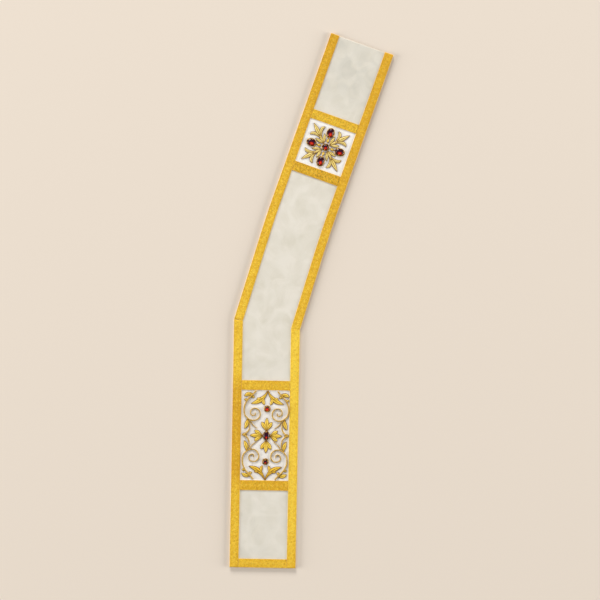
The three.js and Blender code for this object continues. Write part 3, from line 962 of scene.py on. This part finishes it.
def makeCordTree():
    inputs = {"Step": "Float", "Pitch": "Float", "Strands": "Int", "Spread": "Float", "Thickness": "Float"}
    tree, given, result = newTree("twistedCord", inputs)
    split = {"Geometry": pathCurve(tree, given, "Step"), "Amount": given["Strands"]}
    plies = addNode(tree, "GeometryNodeDuplicateElements", split, domain="SPLINE").outputs
    radius = addStep(tree, "GeometryNodeInputNamedAttribute", {"Name": "cordRadius"}, data_type="FLOAT")
    gone = addNode(tree, "GeometryNodeSplineParameter").outputs["Length"]
    share = calc("DIVIDE", plies["Duplicate Index"], given["Strands"])
    angle = times(plus(calc("DIVIDE", gone, given["Pitch"]), share), math.tau)
    reach = times(radius, given["Spread"])
    upright = {0: addStep(tree, "GeometryNodeInputTangent"), 1: (0.0, 0.0, 1.0)}
    side = addStep(tree, "ShaderNodeVectorMath", upright, operation="CROSS_PRODUCT")
    swing = {0: side, "Scale": times(calc("COSINE", angle), reach)}
    sideways = addStep(tree, "ShaderNodeVectorMath", swing, operation="SCALE")
    upwards = addStep(tree, "ShaderNodeCombineXYZ", {"Z": times(calc("SINE", angle), reach)})
    offset = addStep(tree, "ShaderNodeVectorMath", {0: sideways, 1: upwards}, operation="ADD")
    wound = addStep(tree, "GeometryNodeSetPosition", {"Geometry": plies[0], "Offset": offset})
    ring = addStep(tree, "GeometryNodeCurvePrimitiveCircle", {"Resolution": 6, "Radius": 1.0})
    scale = times(radius, given["Thickness"])
    swept = {"Curve": wound, "Profile Curve": ring, "Scale": scale, "Fill Caps": True}
    tube = addStep(tree, "GeometryNodeCurveToMesh", swept)
    return closeTree(tree, addStep(tree, "GeometryNodeSetShadeSmooth", {"Geometry": tube}), given, result)


trees = {"repeat": makeRepeatTree(), "cord": makeCordTree()}
treeLengths = ("Spacing", "Length", "Width", "Height", "Step", "Pitch")  # mm in settings, metres in a tree


# Runs a tree over paths, each (points in mm, closed or not, radius or radii in mm), and keeps the plain mesh
def grow(name, paths, tree, look, material, nodes=()):
    values = {key: value * mm if key in treeLengths else value for key, value in look.items()}
    values["Material"] = materials[material]
    points, edges, radii = [], [], []
    for path, closed, radius in paths:
        first = len(points)
        points += (np.asarray(path) * mm).tolist()
        edges += [(first + k, first + k + 1) for k in range(len(path) - 1)]
        if closed:
            edges.append((first + len(path) - 1, first))
        radii += (np.broadcast_to(radius, len(path)) * mm).tolist()
    mesh = bpy.data.meshes.new(name + "Path")
    mesh.from_pydata(points, edges, [])
    mesh.attributes.new("cordRadius", "FLOAT", "POINT").data.foreach_set("value", radii)
    guide = bpy.data.objects.new(name + "Path", mesh)
    scene.collection.objects.link(guide)
    modifier = guide.modifiers.new(name, "NODES")
    modifier.node_group = trees[tree]
    for item in trees[tree].interface.items_tree:
        if item.in_out == "INPUT" and item.name in values:
            modifier[item.identifier] = values[item.name]
    graph = bpy.context.evaluated_depsgraph_get()
    made = bpy.data.meshes.new_from_object(guide.evaluated_get(graph))
    bpy.data.objects.remove(guide)
    made.name = name
    piece = bpy.data.objects.new(name, made)
    scene.collection.objects.link(piece)
    return dress(piece, nodes)


# Stitches that hold the ribbons, along both of their edges

stitchSettings = {
    "fromEdge": 1.75,  # mm
    "fromHem": 2.0,
    "fromHip": 1.0,
    "barHalf": 49.5,
    "lift": 0.05,
    "stitch": {"Spacing": 3.4, "Length": 2.3, "Width": 0.42, "Height": 0.34, "Uneven": 0.12, "Seed": 5},
}


def makeStitching():
    look = stitchSettings
    half, hip = stole["galloonWidth"] / 2, stole["hipAt"]
    fromMiddle = half - look["fromEdge"]
    lengths = ((look["fromHem"], hip - look["fromHip"]), (hip + look["fromHip"], foldStart))
    lines = []
    for side in (-1, 1):
        for edge in (-1, 1):
            offset = side * (halfWidth - half) + edge * fromMiddle
            lines += [(np.linspace(start, end, 80), offset) for start, end in lengths]
    for _, start, end, _ in galloonSettings["bars"]:
        for at in (start + look["fromEdge"], end - look["fromEdge"]):
            lines.append((at, np.linspace(-look["barHalf"], look["barHalf"], 12)))
    lift = galloonTop(fromMiddle) + look["lift"]
    paths = [(place(at, offset, lift)[0], False, 1.0) for at, offset in lines]
    grow("ribbonStitching", paths, "repeat", look["stitch"], "stitch")
    print("stitching made")


# Goldwork is set out about the middle of its panel, in mm, turned with the stole there

ornamentBase = 3.95


# panel: its settings, with the place of its middle and the ornament's own lean
def panelPlace(panel, points, shift=(0.0, 0.0)):
    middle, _ = place(panel["at"], 0.0, 0.0)
    lean = math.radians(panel["lean"])
    x = points[:, 0] + shift[0]
    y = points[:, 1] + shift[1]
    worldX = middle[0] + x * math.cos(lean) + y * math.sin(lean)
    worldY = middle[1] - x * math.sin(lean) + y * math.cos(lean)
    return np.stack([worldX, worldY, points[:, 2]], axis=-1)


def turned(points, degrees):
    angle = math.radians(degrees)
    x = points[:, 0] * math.cos(angle) - points[:, 1] * math.sin(angle)
    y = points[:, 0] * math.sin(angle) + points[:, 1] * math.cos(angle)
    return np.stack([x, y, points[:, 2]], axis=-1)


# Padded leaves in satin stitch: threads slant outwards from a sunk midrib

leafSettings = {
    "rise": 1.55,
    "root": 1.6,
    "point": 0.35,
    "threadPitch": 0.45,
    "slant": 0.9,
    "ridge": 0.055,
    "groove": 0.42,
    "grooveWidth": 0.13,
    "endRise": 0.55,  # share of the rise left at root and point
    "dome": (2.4, 0.55),  # powers of the curve across
    "columns": [0.0, 0.1, 0.22, 0.38, 0.54, 0.7, 0.84, 0.95, 1.0],  # from the middle to one edge
    "threadTones": (0.72, 1.0),
    # Painted shade: how dark between threads, along the midrib, towards the edges and at the root
    "paintedShadeBetweenThreads": 0.8,
    "paintedMidribShade": 0.85,
    "midribWidth": 0.2,
    "paintedEdgeShade": 0.6,
    "paintedRootShade": 0.72,
    # Painted shadow where two leaves meet: how dark, and in the next line how wide
    "paintedMeetingShadow": 0.85,
    "meeting": 0.8,  # mm, half the width of the dark line where two leaves meet
    "outline": 0.55,  # radius of the cord couched round a leaf
    "outlineOut": 0.12,
    "outlineUp": 0.9,  # share of that radius
}


# row: rootX, rootY, bendX, bendY, tipX, tipY, width, belly
def leafLine(row, flip, share):
    root, bend, tip = (np.array(row[k:k + 2]) * flip for k in (0, 2, 4))
    share = share[..., None]
    spot = (1 - share) ** 2 * root + 2 * share * (1 - share) * bend + share ** 2 * tip
    heading = 2 * (1 - share) * (bend - root) + 2 * share * (tip - bend)
    heading = heading / np.linalg.norm(heading, axis=-1, keepdims=True)
    side = np.stack([-heading[..., 1], heading[..., 0]], axis=-1)
    return spot, side


def leafHalf(row, share):
    look = leafSettings
    swelling = np.sin(math.pi * np.clip(share, 0, 1) ** (math.log(0.5) / math.log(row[7])))
    root = look["root"] * (1 - share) + look["point"] * share
    return (root + max(row[6] - look["root"], 0) * swelling) / 2, swelling


def leafLength(row):
    spot, _ = leafLine(row, (1, 1), np.linspace(0, 1, 20))
    return float(np.linalg.norm(np.diff(spot, axis=0), axis=1).sum())


def leafBody(row, flip, source):
    look = leafSettings
    length = leafLength(row)
    threadCount = max(10, round(length / look["threadPitch"]))
    steps = 2 * threadCount
    halfColumns = np.array(look["columns"])
    columns = np.concatenate([-halfColumns[:0:-1], halfColumns])[None, :]
    aside = np.abs(columns)
    share = np.linspace(0, 1, steps + 1)[:, None]
    half, _ = leafHalf(row, share)
    share = np.clip(share + look["slant"] * aside * half / length * (1 - share), 0, 1)
    half, swelling = leafHalf(row, share)
    spot, side = leafLine(row, flip, share)
    flat = spot + side * (columns * half)[..., None]
    power, root = look["dome"]
    dome = (1 - aside ** power) ** root
    rise = look["rise"] * (look["endRise"] + (1 - look["endRise"]) * swelling)
    sunk = look["groove"] * np.exp(-(columns / look["grooveWidth"]) ** 2) * swelling
    onThread = np.arange(steps + 1)[:, None] % 2 == 0
    thread = np.where(onThread, 1, -1) * look["ridge"] * (1 - columns ** 4)
    height = ornamentBase + np.maximum(dome * rise - sunk + thread * (aside < 1), 0)
    points = np.concatenate([flat, height[..., None]], axis=-1).reshape(-1, 3)
    own = np.repeat(source.uniform(*look["threadTones"], threadCount + 1), 2)[:steps + 1, None]
    # Painted shade between the threads, along the midrib, towards the edges and at the root
    dip = np.where(onThread, 1.0, look["paintedShadeBetweenThreads"])
    line = np.exp(-(columns / look["midribWidth"]) ** 2) * np.clip(1.5 - share, 0, 1)
    tone = own * dip * (1 - look["paintedMidribShade"] * line) * (1 - look["paintedEdgeShade"] * aside ** 5)
    tone = tone * (look["paintedRootShade"] + (1 - look["paintedRootShade"]) * np.clip(share * 3, 0, 1))
    count = columns.shape[1]
    faces = []
    for first in range(0, steps * count, count):
        after = first + count
        faces += [[first + c, first + c + 1, after + c + 1, after + c] for c in range(count - 1)]
        faces.append([after - 1, first, after, after + count - 1])
    faces.append(list(range(count))[::-1])
    faces.append([steps * count + c for c in range(count)])
    return points, outward(points, faces), tone.ravel()


def leafOutline(row, flip):
    look = leafSettings
    share = np.linspace(0.0, 1.0, 26)
    half, _ = leafHalf(row, share)
    spot, side = leafLine(row, flip, share)
    out = (half + look["outlineOut"])[:, None]
    around = np.concatenate([spot + side * out, (spot - side * out)[::-1]])
    heights = np.full((len(around), 1), ornamentBase + look["outline"] * look["outlineUp"])
    return np.concatenate([around, heights], axis=1)


# Share of the way from a leaf's middle line to its edge, for points beside or over it
def leafShare(row, flip, points):
    share = np.linspace(0.02, 0.98, 40)
    half, _ = leafHalf(row, share)
    spot, _ = leafLine(row, flip, share)
    return (np.linalg.norm(points[:, None, :2] - spot[None], axis=2) / half).min(axis=1), half.max()


# Paints shadow on the threads where two leaves of a spray meet
def paintMeetingShadows(bodies, shapes):
    shaded = []
    for own, (points, faces, tone) in enumerate(bodies):
        shares = [leafShare(row, flip, points) for row, flip in shapes]
        mine, half = shares[own]
        for other, (share, _) in enumerate(shares):
            if other != own:
                near = np.exp(-((share - mine) * half / leafSettings["meeting"]) ** 2) * (share < 1.1)
                tone = tone * (1 - leafSettings["paintedMeetingShadow"] * near)
        shaded.append((points, faces, tone))
    return shaded


def joinBodies(bodies):
    points, faces, tones, first = [], [], [], 0
    for body, bodyFaces, tone in bodies:
        points.append(body)
        tones.append(tone)
        faces += [[first + corner for corner in face] for face in bodyFaces]
        first += len(body)
    return np.concatenate(points), faces, np.concatenate(tones)


# Makes one piece of padded leaves for a CAD node. trim gathers what is added later: here the cords round them
def makeLeaves(
    node, rows, flips, panel, shift, trim, seed, turn=0, finish="goldThread", shade=1.0, name=None,
):
    source = np.random.default_rng(seed)
    shapes = [(row, flip) for flip in flips for row in rows]
    bodies = [leafBody(row, flip, source) for row, flip in shapes]
    points, faces, tones = joinBodies(paintMeetingShadows(bodies, shapes))
    points = panelPlace(panel, turned(points, turn), shift)
    for row, flip in shapes:
        around = panelPlace(panel, turned(leafOutline(row, flip), turn), shift)
        trim["outlines"].append((around, True, leafSettings["outline"]))
    makePiece(node, points, faces, finish, tones={"threadToneAndShade": tones * shade}, name=name)


# Garnets in their settings

stoneSettings = {
    "sides": 48,
    "levels": 12,
    "stoneOut": 0.45,  # mm, how far a drawn stone passes its own oval
    "lowAngle": -0.1,  # radians on the stone's curve
    "highAngle": math.pi / 2 - 0.06,
    "girdle": 0.12,  # share of the rise below the stone's curve
    # Where the painted glow is brightest, and how round it is
    "glowAt": 0.42,  # share of the way from the stone's middle to its rim
    "glowStretch": 0.85,
    "rimIn": 0.6,
    "wallMore": 0.2,
    "beadsOut": 0.2,  # mm, the row of beads round a setting
    "beadsUp": 0.35,
    "beadSides": 60,
    "claws": 6,
    "clawRoot": 0.55,  # share of the wall
    "clawUp": 0.1,
    "clawOver": 1.1,
    "clawRise": 0.55,
    "bead": {"Spacing": 1.15, "Length": 0.85, "Width": 0.85, "Height": 0.85, "Uneven": 0.05, "Seed": 2},
    "claw": {"Spacing": 5.0, "Length": 2.0, "Width": 1.1, "Height": 1.1, "Uneven": 0.05, "Seed": 2},
}


def ovalRing(halfX, halfY, height, sides):
    angle = np.linspace(0, math.tau, sides, endpoint=False)
    return np.stack([halfX * np.cos(angle), halfY * np.sin(angle), np.full(sides, height)], axis=-1)


def makeGarnetPiece(node, panel, spot, sizes, glowSize):
    look = stoneSettings
    sides = look["sides"]
    halfX, halfY = sizes["x"] / 2 + look["stoneOut"], sizes["y"] / 2 + look["stoneOut"]
    lean = math.radians(panel["lean"])
    down, aside = np.array([math.sin(lean), -math.cos(lean)]), np.array([math.cos(lean), math.sin(lean)])
    rings, glow = [], []
    for angle in np.linspace(look["lowAngle"], look["highAngle"], look["levels"]):
        inset = min(halfX, halfY) * (1 - math.cos(angle))
        up = look["girdle"] + (1 - look["girdle"]) * math.sin(angle)
        rings.append(ovalRing(halfX - inset, halfY - inset, ornamentBase + up * sizes["rise"], sides))
        shares = rings[-1][:, :2] / np.array([halfX, halfY])
        # The painted glow: brightest below the stone's middle, fading outwards
        reach = np.hypot(shares @ down - look["glowAt"], (shares @ aside) * look["glowStretch"])
        glow.append(np.clip(1 - reach / glowSize, 0, 1))
    points = np.concatenate(rings)
    faces = ringFaces(len(rings), sides)
    faces.append(list(range(sides))[::-1])
    faces.append([(len(rings) - 1) * sides + k for k in range(sides)])
    faces = outward(points, faces)
    tones = {"paintedGlow": np.concatenate(glow)}
    makePiece(node, panelPlace(panel, points, spot), faces, "garnet", tones=tones)


# Section of a setting: share of its wall outwards, and share of its height
settingWall = [
    (0.0, 0.0), (1.0, 0.0), (1.04, 0.25), (0.98, 0.5), (0.78, 0.74),
    (0.54, 0.95), (0.3, 1.0), (0.1, 0.96), (-0.02, 0.84), (0.0, 0.66),
]


def makeSettingPiece(node, panel, spot, sizes, trim):
    look = stoneSettings
    sides, rimTop = look["sides"], ornamentBase + sizes["rimRise"]
    halfX, halfY = sizes["x"] / 2 + look["rimIn"], sizes["y"] / 2 + look["rimIn"]
    wall = sizes["wall"] + look["wallMore"] - look["rimIn"]
    levels = []
    for out, up in settingWall:
        height = ornamentBase + up * sizes["rimRise"]
        levels.append(ovalRing(halfX + out * wall, halfY + out * wall, height, sides))
    points = np.stack(levels, axis=1).reshape(-1, 3)
    quads = ringFaces(sides + 1, len(levels))
    faces = outward(points, [[corner % len(points) for corner in face] for face in quads])
    out = wall + look["beadsOut"]
    base = ovalRing(halfX + out, halfY + out, ornamentBase + look["beadsUp"], look["beadSides"])
    trim["beads"].append((panelPlace(panel, base, spot), True, 1.0))
    lift = rimTop + look["clawUp"]
    for index in range(look["claws"]):
        angle = math.tau * (index + 0.5) / look["claws"]
        way = np.array([math.cos(angle), math.sin(angle)])
        outer = way * (np.array([halfX, halfY]) + wall * look["clawRoot"])
        inner = way * (np.array([halfX, halfY]) - look["clawOver"])
        ends = np.array([[*outer, lift], [*inner, lift + look["clawRise"]]])
        trim["claws"].append((panelPlace(panel, ends, spot), False, 1.0))
    makePiece(node, panelPlace(panel, points, spot), faces, "setting")


def makeStone(label, panel, spot, sizes, glowSize, trim):
    makeGarnetPiece("garnet_" + label, panel, spot, sizes, glowSize)
    makeSettingPiece("setting_" + label, panel, spot, sizes, trim)


corners = [("ne", 1, 1, 45), ("nw", -1, 1, 135), ("sw", -1, -1, 225), ("se", 1, -1, 315)]
compass = [("east", 1, 0, 0), ("north", 0, 1, 90), ("west", -1, 0, 180), ("south", 0, -1, 270)]


# The square panel: garnets in a cross, drops between them, a spray in each corner

squareSettings = {
    "at": 912.05,
    "lean": 19.6,
    "roundStone": {"x": 12.0, "y": 12.0, "rise": 4.6, "wall": 1.6, "rimRise": 2.2},
    "ovalStone": {"x": 13.0, "y": 18.0, "rise": 4.8, "wall": 1.7, "rimRise": 2.2},
    # size of the stones' painted glow
    "glowSize": 0.66,
    "stoneReach": 31.6,
    "dropReach": 15.0,
    "drop": (-4.5, 0, 0, 0, 4.5, 0, 5.4, 0.45),
    # rootX, rootY, bendX, bendY, tipX, tipY, width, belly, out along the corner's diagonal
    "spray": [
        (9.5, 0, 22, 0, 36, 0, 5.2, 0.5),
        (26.5, 0, 42, 0, 56.8, 0, 8.4, 0.44),
        (22.5, 0.9, 43, 6.8, 39, 17.8, 6.8, 0.6),
        (22.5, -0.9, 43, -6.8, 39, -17.8, 6.8, 0.6),
        (10.6, 0.8, 18.5, 7, 26.8, 10.4, 6.2, 0.55),
        (10.6, -0.8, 18.5, -7, 26.8, -10.4, 6.2, 0.55),
    ],
}


def makeSquareOrnament(trim):
    look = squareSettings
    oval, glowSize = look["ovalStone"], look["glowSize"]
    lying = {**oval, "x": oval["y"], "y": oval["x"]}
    makeStone("square_middle", look, (0.0, 0.0), look["roundStone"], glowSize, trim)
    for way, x, y, _ in compass:
        spot = (x * look["stoneReach"], y * look["stoneReach"])
        makeStone("square_" + way, look, spot, lying if x else oval, glowSize, trim)
    for seed, (way, x, y, turn) in enumerate(compass, 40):
        spot = (x * look["dropReach"], y * look["dropReach"])
        makeLeaves("drop_" + way, [look["drop"]], [(1, 1)], look, spot, trim, seed, turn)
    for seed, (way, _, _, turn) in enumerate(corners, 50):
        makeLeaves("spray_" + way, look["spray"], [(1, 1)], look, (0.0, 0.0), trim, seed, turn, "paleThread")
    print("square panel's ornament made")


# The tall panel: a leaf cross, vines, curls and leaf pairs

tallSettings = {
    "at": 280.85,
    "lean": 2.06,  # the ornament was mounted a degree askew
    "crossShift": (3.0, -0.8),
    "vineShift": (1.2, 0.2),
    "crossStone": {"x": 12.2, "y": 16.2, "rise": 4.4, "wall": 1.0, "rimRise": 2.2},  # over its CAD oval
    "smallStone": {"x": 9.4, "y": 9.4, "rise": 3.8, "wall": 1.9, "rimRise": 2.0},
    # which, mm above the cross's middle, kind, size of its painted glow
    "stones": [
        ("middle", 0.0, "crossStone", 0.42),
        ("top", 57.2, "smallStone", 1.05),
        ("bottom", -55.2, "smallStone", 0.5),
    ],
    # root, reach of the middle petal, reach of the side petals
    "arms": {
        "east": (7.9, 32.7, 23.5),
        "north": (9.9, 37.7, 28.8),
        "west": (7.9, 34.6, 25.0),
        "south": (9.9, 36.5, 28.4),
    },
    "sideSpread": 11.2,
    "vineStem": [(23.2, 93.4), (29.5, 86.0), (39.3, 76.0), (45.8, 64.0), (47.4, 53.0), (45.0, 41.5)],
    "scroll": {"x": 25.8, "y": 46.2, "outer": 16.8, "inner": 2.0, "from": -50, "sweep": 504, "step": 28},
    "stemWidths": (3.3, 2.2),  # mm at its start and end
    "branchWidths": (2.1, 1.6),
    "curlWidths": (1.9, 3.5),
    "branch": [(34.5, 31.3), (27.5, 21.5), (18.2, 13.6)],
    "vineLeaves": [
        (39.4, 34, 38.8, 23.5, 44.9, 12.6, 8.6, 0.55),
        (29.4, 85.6, 39.5, 88.4, 47.6, 81.8, 8.6, 0.55),
        (33.4, 82, 30.2, 80.8, 26.4, 80, 5.8, 0.62),
        (40.6, 74, 43.6, 74.6, 47.4, 74.4, 5.6, 0.62),
    ],
    "curl": [(35.1, 27.6), (34.1, 20.0), (35.5, 11.0), (40.5, 4.2), (46.0, 0.3)],
    "knob": (40, 0, 44.6, 0, 49.3, 0, 7.4, 0.5),
    "pairShades": {"top": 1.0, "bottom": 0.8},
    "pairLeaves": [
        (0.5, 94.3, 8.5, 72.2, 34.4, 66.6, 10, 0.62),
        (10, 77.6, 16.5, 75.8, 22.8, 78.2, 6.6, 0.6),
        (7.4, 80.4, 10.8, 72, 6, 64.6, 6.6, 0.62),
    ],
}


def scrollPoints():
    scroll = tallSettings["scroll"]
    found = []
    for swept in range(0, scroll["sweep"] + 1, scroll["step"]):
        angle = math.radians(scroll["from"] - swept)
        radius = scroll["outer"] + (scroll["inner"] - scroll["outer"]) * swept / scroll["sweep"]
        found.append((scroll["x"] + radius * math.cos(angle), scroll["y"] + radius * math.sin(angle)))
    return found


# A smooth line through its points, a centripetal spline
def smoothLine(stops, perSpan=14):
    stops = np.array(stops, dtype=float)
    ends = [2 * stops[0] - stops[1], *stops, 2 * stops[-1] - stops[-2]]
    line = []
    for before, first, second, after in zip(ends, ends[1:], ends[2:], ends[3:]):
        steps = (first - before, second - first, after - second)
        gaps = [math.sqrt(float(np.linalg.norm(step))) for step in steps]
        start = steps[0] / gaps[0] - (second - before) / (gaps[0] + gaps[1]) + steps[1] / gaps[1]
        end = steps[1] / gaps[1] - (after - first) / (gaps[1] + gaps[2]) + steps[2] / gaps[2]
        start, end = start * gaps[1], end * gaps[1]
        for share in np.linspace(0, 1, perSpan, endpoint=False):
            line.append(
                first + start * share + (3 * (second - first) - 2 * start - end) * share ** 2
                + (2 * (first - second) + start + end) * share ** 3
            )
    line.append(stops[-1])
    return np.array(line)


# A cord's path on the panel: its line, and its radius from one end to the other
def stemPath(stops, flip, widths):
    first, last = widths
    line = smoothLine(stops) * flip
    gone = np.concatenate([[0.0], np.cumsum(np.linalg.norm(np.diff(line, axis=0), axis=1))])
    radius = (first + (last - first) * gone / gone[-1]) / 2
    points = np.concatenate([line, (ornamentBase + radius * 0.85)[:, None]], axis=1)
    return panelPlace(tallSettings, points, tallSettings["vineShift"]), False, radius


cordSettings = {
    "stem": {"Step": 0.42, "Pitch": 3.0, "Strands": 2, "Spread": 0.5, "Thickness": 0.58},
    "outline": {"Step": 0.7, "Pitch": 2.0, "Strands": 1, "Spread": 0.12, "Thickness": 1.0},
}


def growStem(name, paths, node):
    grow(name, paths, "cord", cordSettings["stem"], "stem", [node])


def petalRows(way):
    root, reach, sideReach = tallSettings["arms"][way]
    bend, spread = (root + sideReach) / 2, tallSettings["sideSpread"]
    rows = [(root, side * 0.7, bend, side * 4.6, sideReach, side * spread, 8.6, 0.66) for side in (1, -1)]
    return [(root, 0, bend, 0, reach, 0, 8.8, 0.66), *rows]


def makeTallOrnament(trim):
    look = tallSettings
    shift = look["vineShift"]
    shiftX, shiftY = look["crossShift"]
    for which, up, kind, glowSize in look["stones"]:
        makeStone("cross_" + which, look, (shiftX, shiftY + up), look[kind], glowSize, trim)
    for seed, (way, _, _, turn) in enumerate(compass, 60):
        makeLeaves("cross_arm_" + way, petalRows(way), [(1, 1)], look, look["crossShift"], trim, seed, turn)
    for seed, (way, x, y, _) in enumerate(corners, 70):
        node, flip = "vine_" + way, (x, y)
        name = "vineLeaves" + way.capitalize()
        makeLeaves(node, look["vineLeaves"], [flip], look, shift, trim, seed, name=name)
        stem = stemPath([*look["vineStem"], *scrollPoints()], flip, look["stemWidths"])
        branch = stemPath(look["branch"], flip, look["branchWidths"])
        growStem("vineStem" + way.capitalize(), [stem, branch], node)
    for seed, (side, x) in enumerate((("right", 1), ("left", -1)), 80):
        node, name = "curl_" + side, "curlKnob" + side.capitalize()
        makeLeaves(node, [look["knob"]], [(x, 1)], look, shift, trim, seed, name=name)
        stems = [stemPath(look["curl"], (x, y), look["curlWidths"]) for y in (1, -1)]
        growStem("curlStem" + side.capitalize(), stems, node)
    for seed, (end, y) in enumerate((("top", 1), ("bottom", -1)), 90):
        node, flips, shade = "leaf_pair_" + end, [(1, y), (-1, y)], look["pairShades"][end]
        makeLeaves(node, look["pairLeaves"], flips, look, (shiftX, 0.0), trim, seed, shade=shade)
    print("tall panel's ornament made")


def makeOrnament():
    trim = {"outlines": [], "beads": [], "claws": []}
    makeSquareOrnament(trim)
    count = len(trim["outlines"])
    makeTallOrnament(trim)
    cord = cordSettings["outline"]
    grow("squareOutlines", trim["outlines"][:count], "cord", cord, "outline")
    grow("tallOutlines", trim["outlines"][count:], "cord", cord, "outline")
    grow("settingBeads", trim["beads"], "repeat", stoneSettings["bead"], "setting")
    grow("settingClaws", trim["claws"], "repeat", stoneSettings["claw"], "setting")
    print("outlines, beads and claws made")


# Studio: a plain pale floor, a large soft light beyond the fold, and a weaker one on each side

studioSettings = {
    "floor": colour(229, 217, 203),
    "grain": (0.5, 0.45, 0.4, 1.0),
    "grainScale": 300.0,
    "grainShare": 0.06,
    "floorHalf": 4.0,  # m
    "sky": (1.0, 0.985, 0.97, 1.0),
    "skyStrength": 0.242,
    "tint": (1.0, 0.99, 0.97),
    # name, place in m, width and height in m, watts
    "lights": [
        ("topLight", (-2.4, 13.0, 5.3), 6.4, 4.2, 2040.0),
        ("leftLight", (-10.4, -0.8, 2.6), 5.8, 3.9, 1118.0),
        ("rightLight", (10.4, -0.8, 2.6), 5.8, 3.9, 1118.0),
    ],
}


def makeStudio():
    look = studioSettings
    world = bpy.data.worlds.new("studio")
    world.use_nodes = True
    scene.world = world
    background = world.node_tree.nodes["Background"]
    background.inputs["Color"].default_value = look["sky"]
    background.inputs["Strength"].default_value = look["skyStrength"]
    for name, spot, width, height, watts in look["lights"]:
        data = bpy.data.lights.new(name, "AREA")
        data.shape = "RECTANGLE"
        data.size, data.size_y, data.energy, data.color = width, height, watts, look["tint"]
        light = bpy.data.objects.new(name, data)
        light.location = spot
        light.rotation_euler = light.location.to_track_quat("Z", "Y").to_euler()
        scene.collection.objects.link(light)
    half = look["floorHalf"]
    mesh = bpy.data.meshes.new("floor")
    ends = [(-half, -half, 0), (half, -half, 0), (half, half, 0), (-half, half, 0)]
    mesh.from_pydata(ends, [], [(0, 1, 2, 3)])
    floor = bpy.data.objects.new("floor", mesh)
    material, tree, shader = newMaterial("floorPaper", {"Roughness": 0.9, "Specular IOR Level": 0.2})
    grain = times(noiseAt(objectPlace(tree), look["grainScale"]), look["grainShare"])
    feed(mixed(grain, look["floor"], look["grain"]), shader.inputs["Base Color"])
    mesh.materials.append(material)
    scene.collection.objects.link(floor)
    scene.view_settings.view_transform = "Standard"
    print("studio made")


makeCamera()
makeStudio()
makeHiddenLayers()
makeGround()
makeSideGalloons()
makeBars()
makeStitching()
makeOrnament()
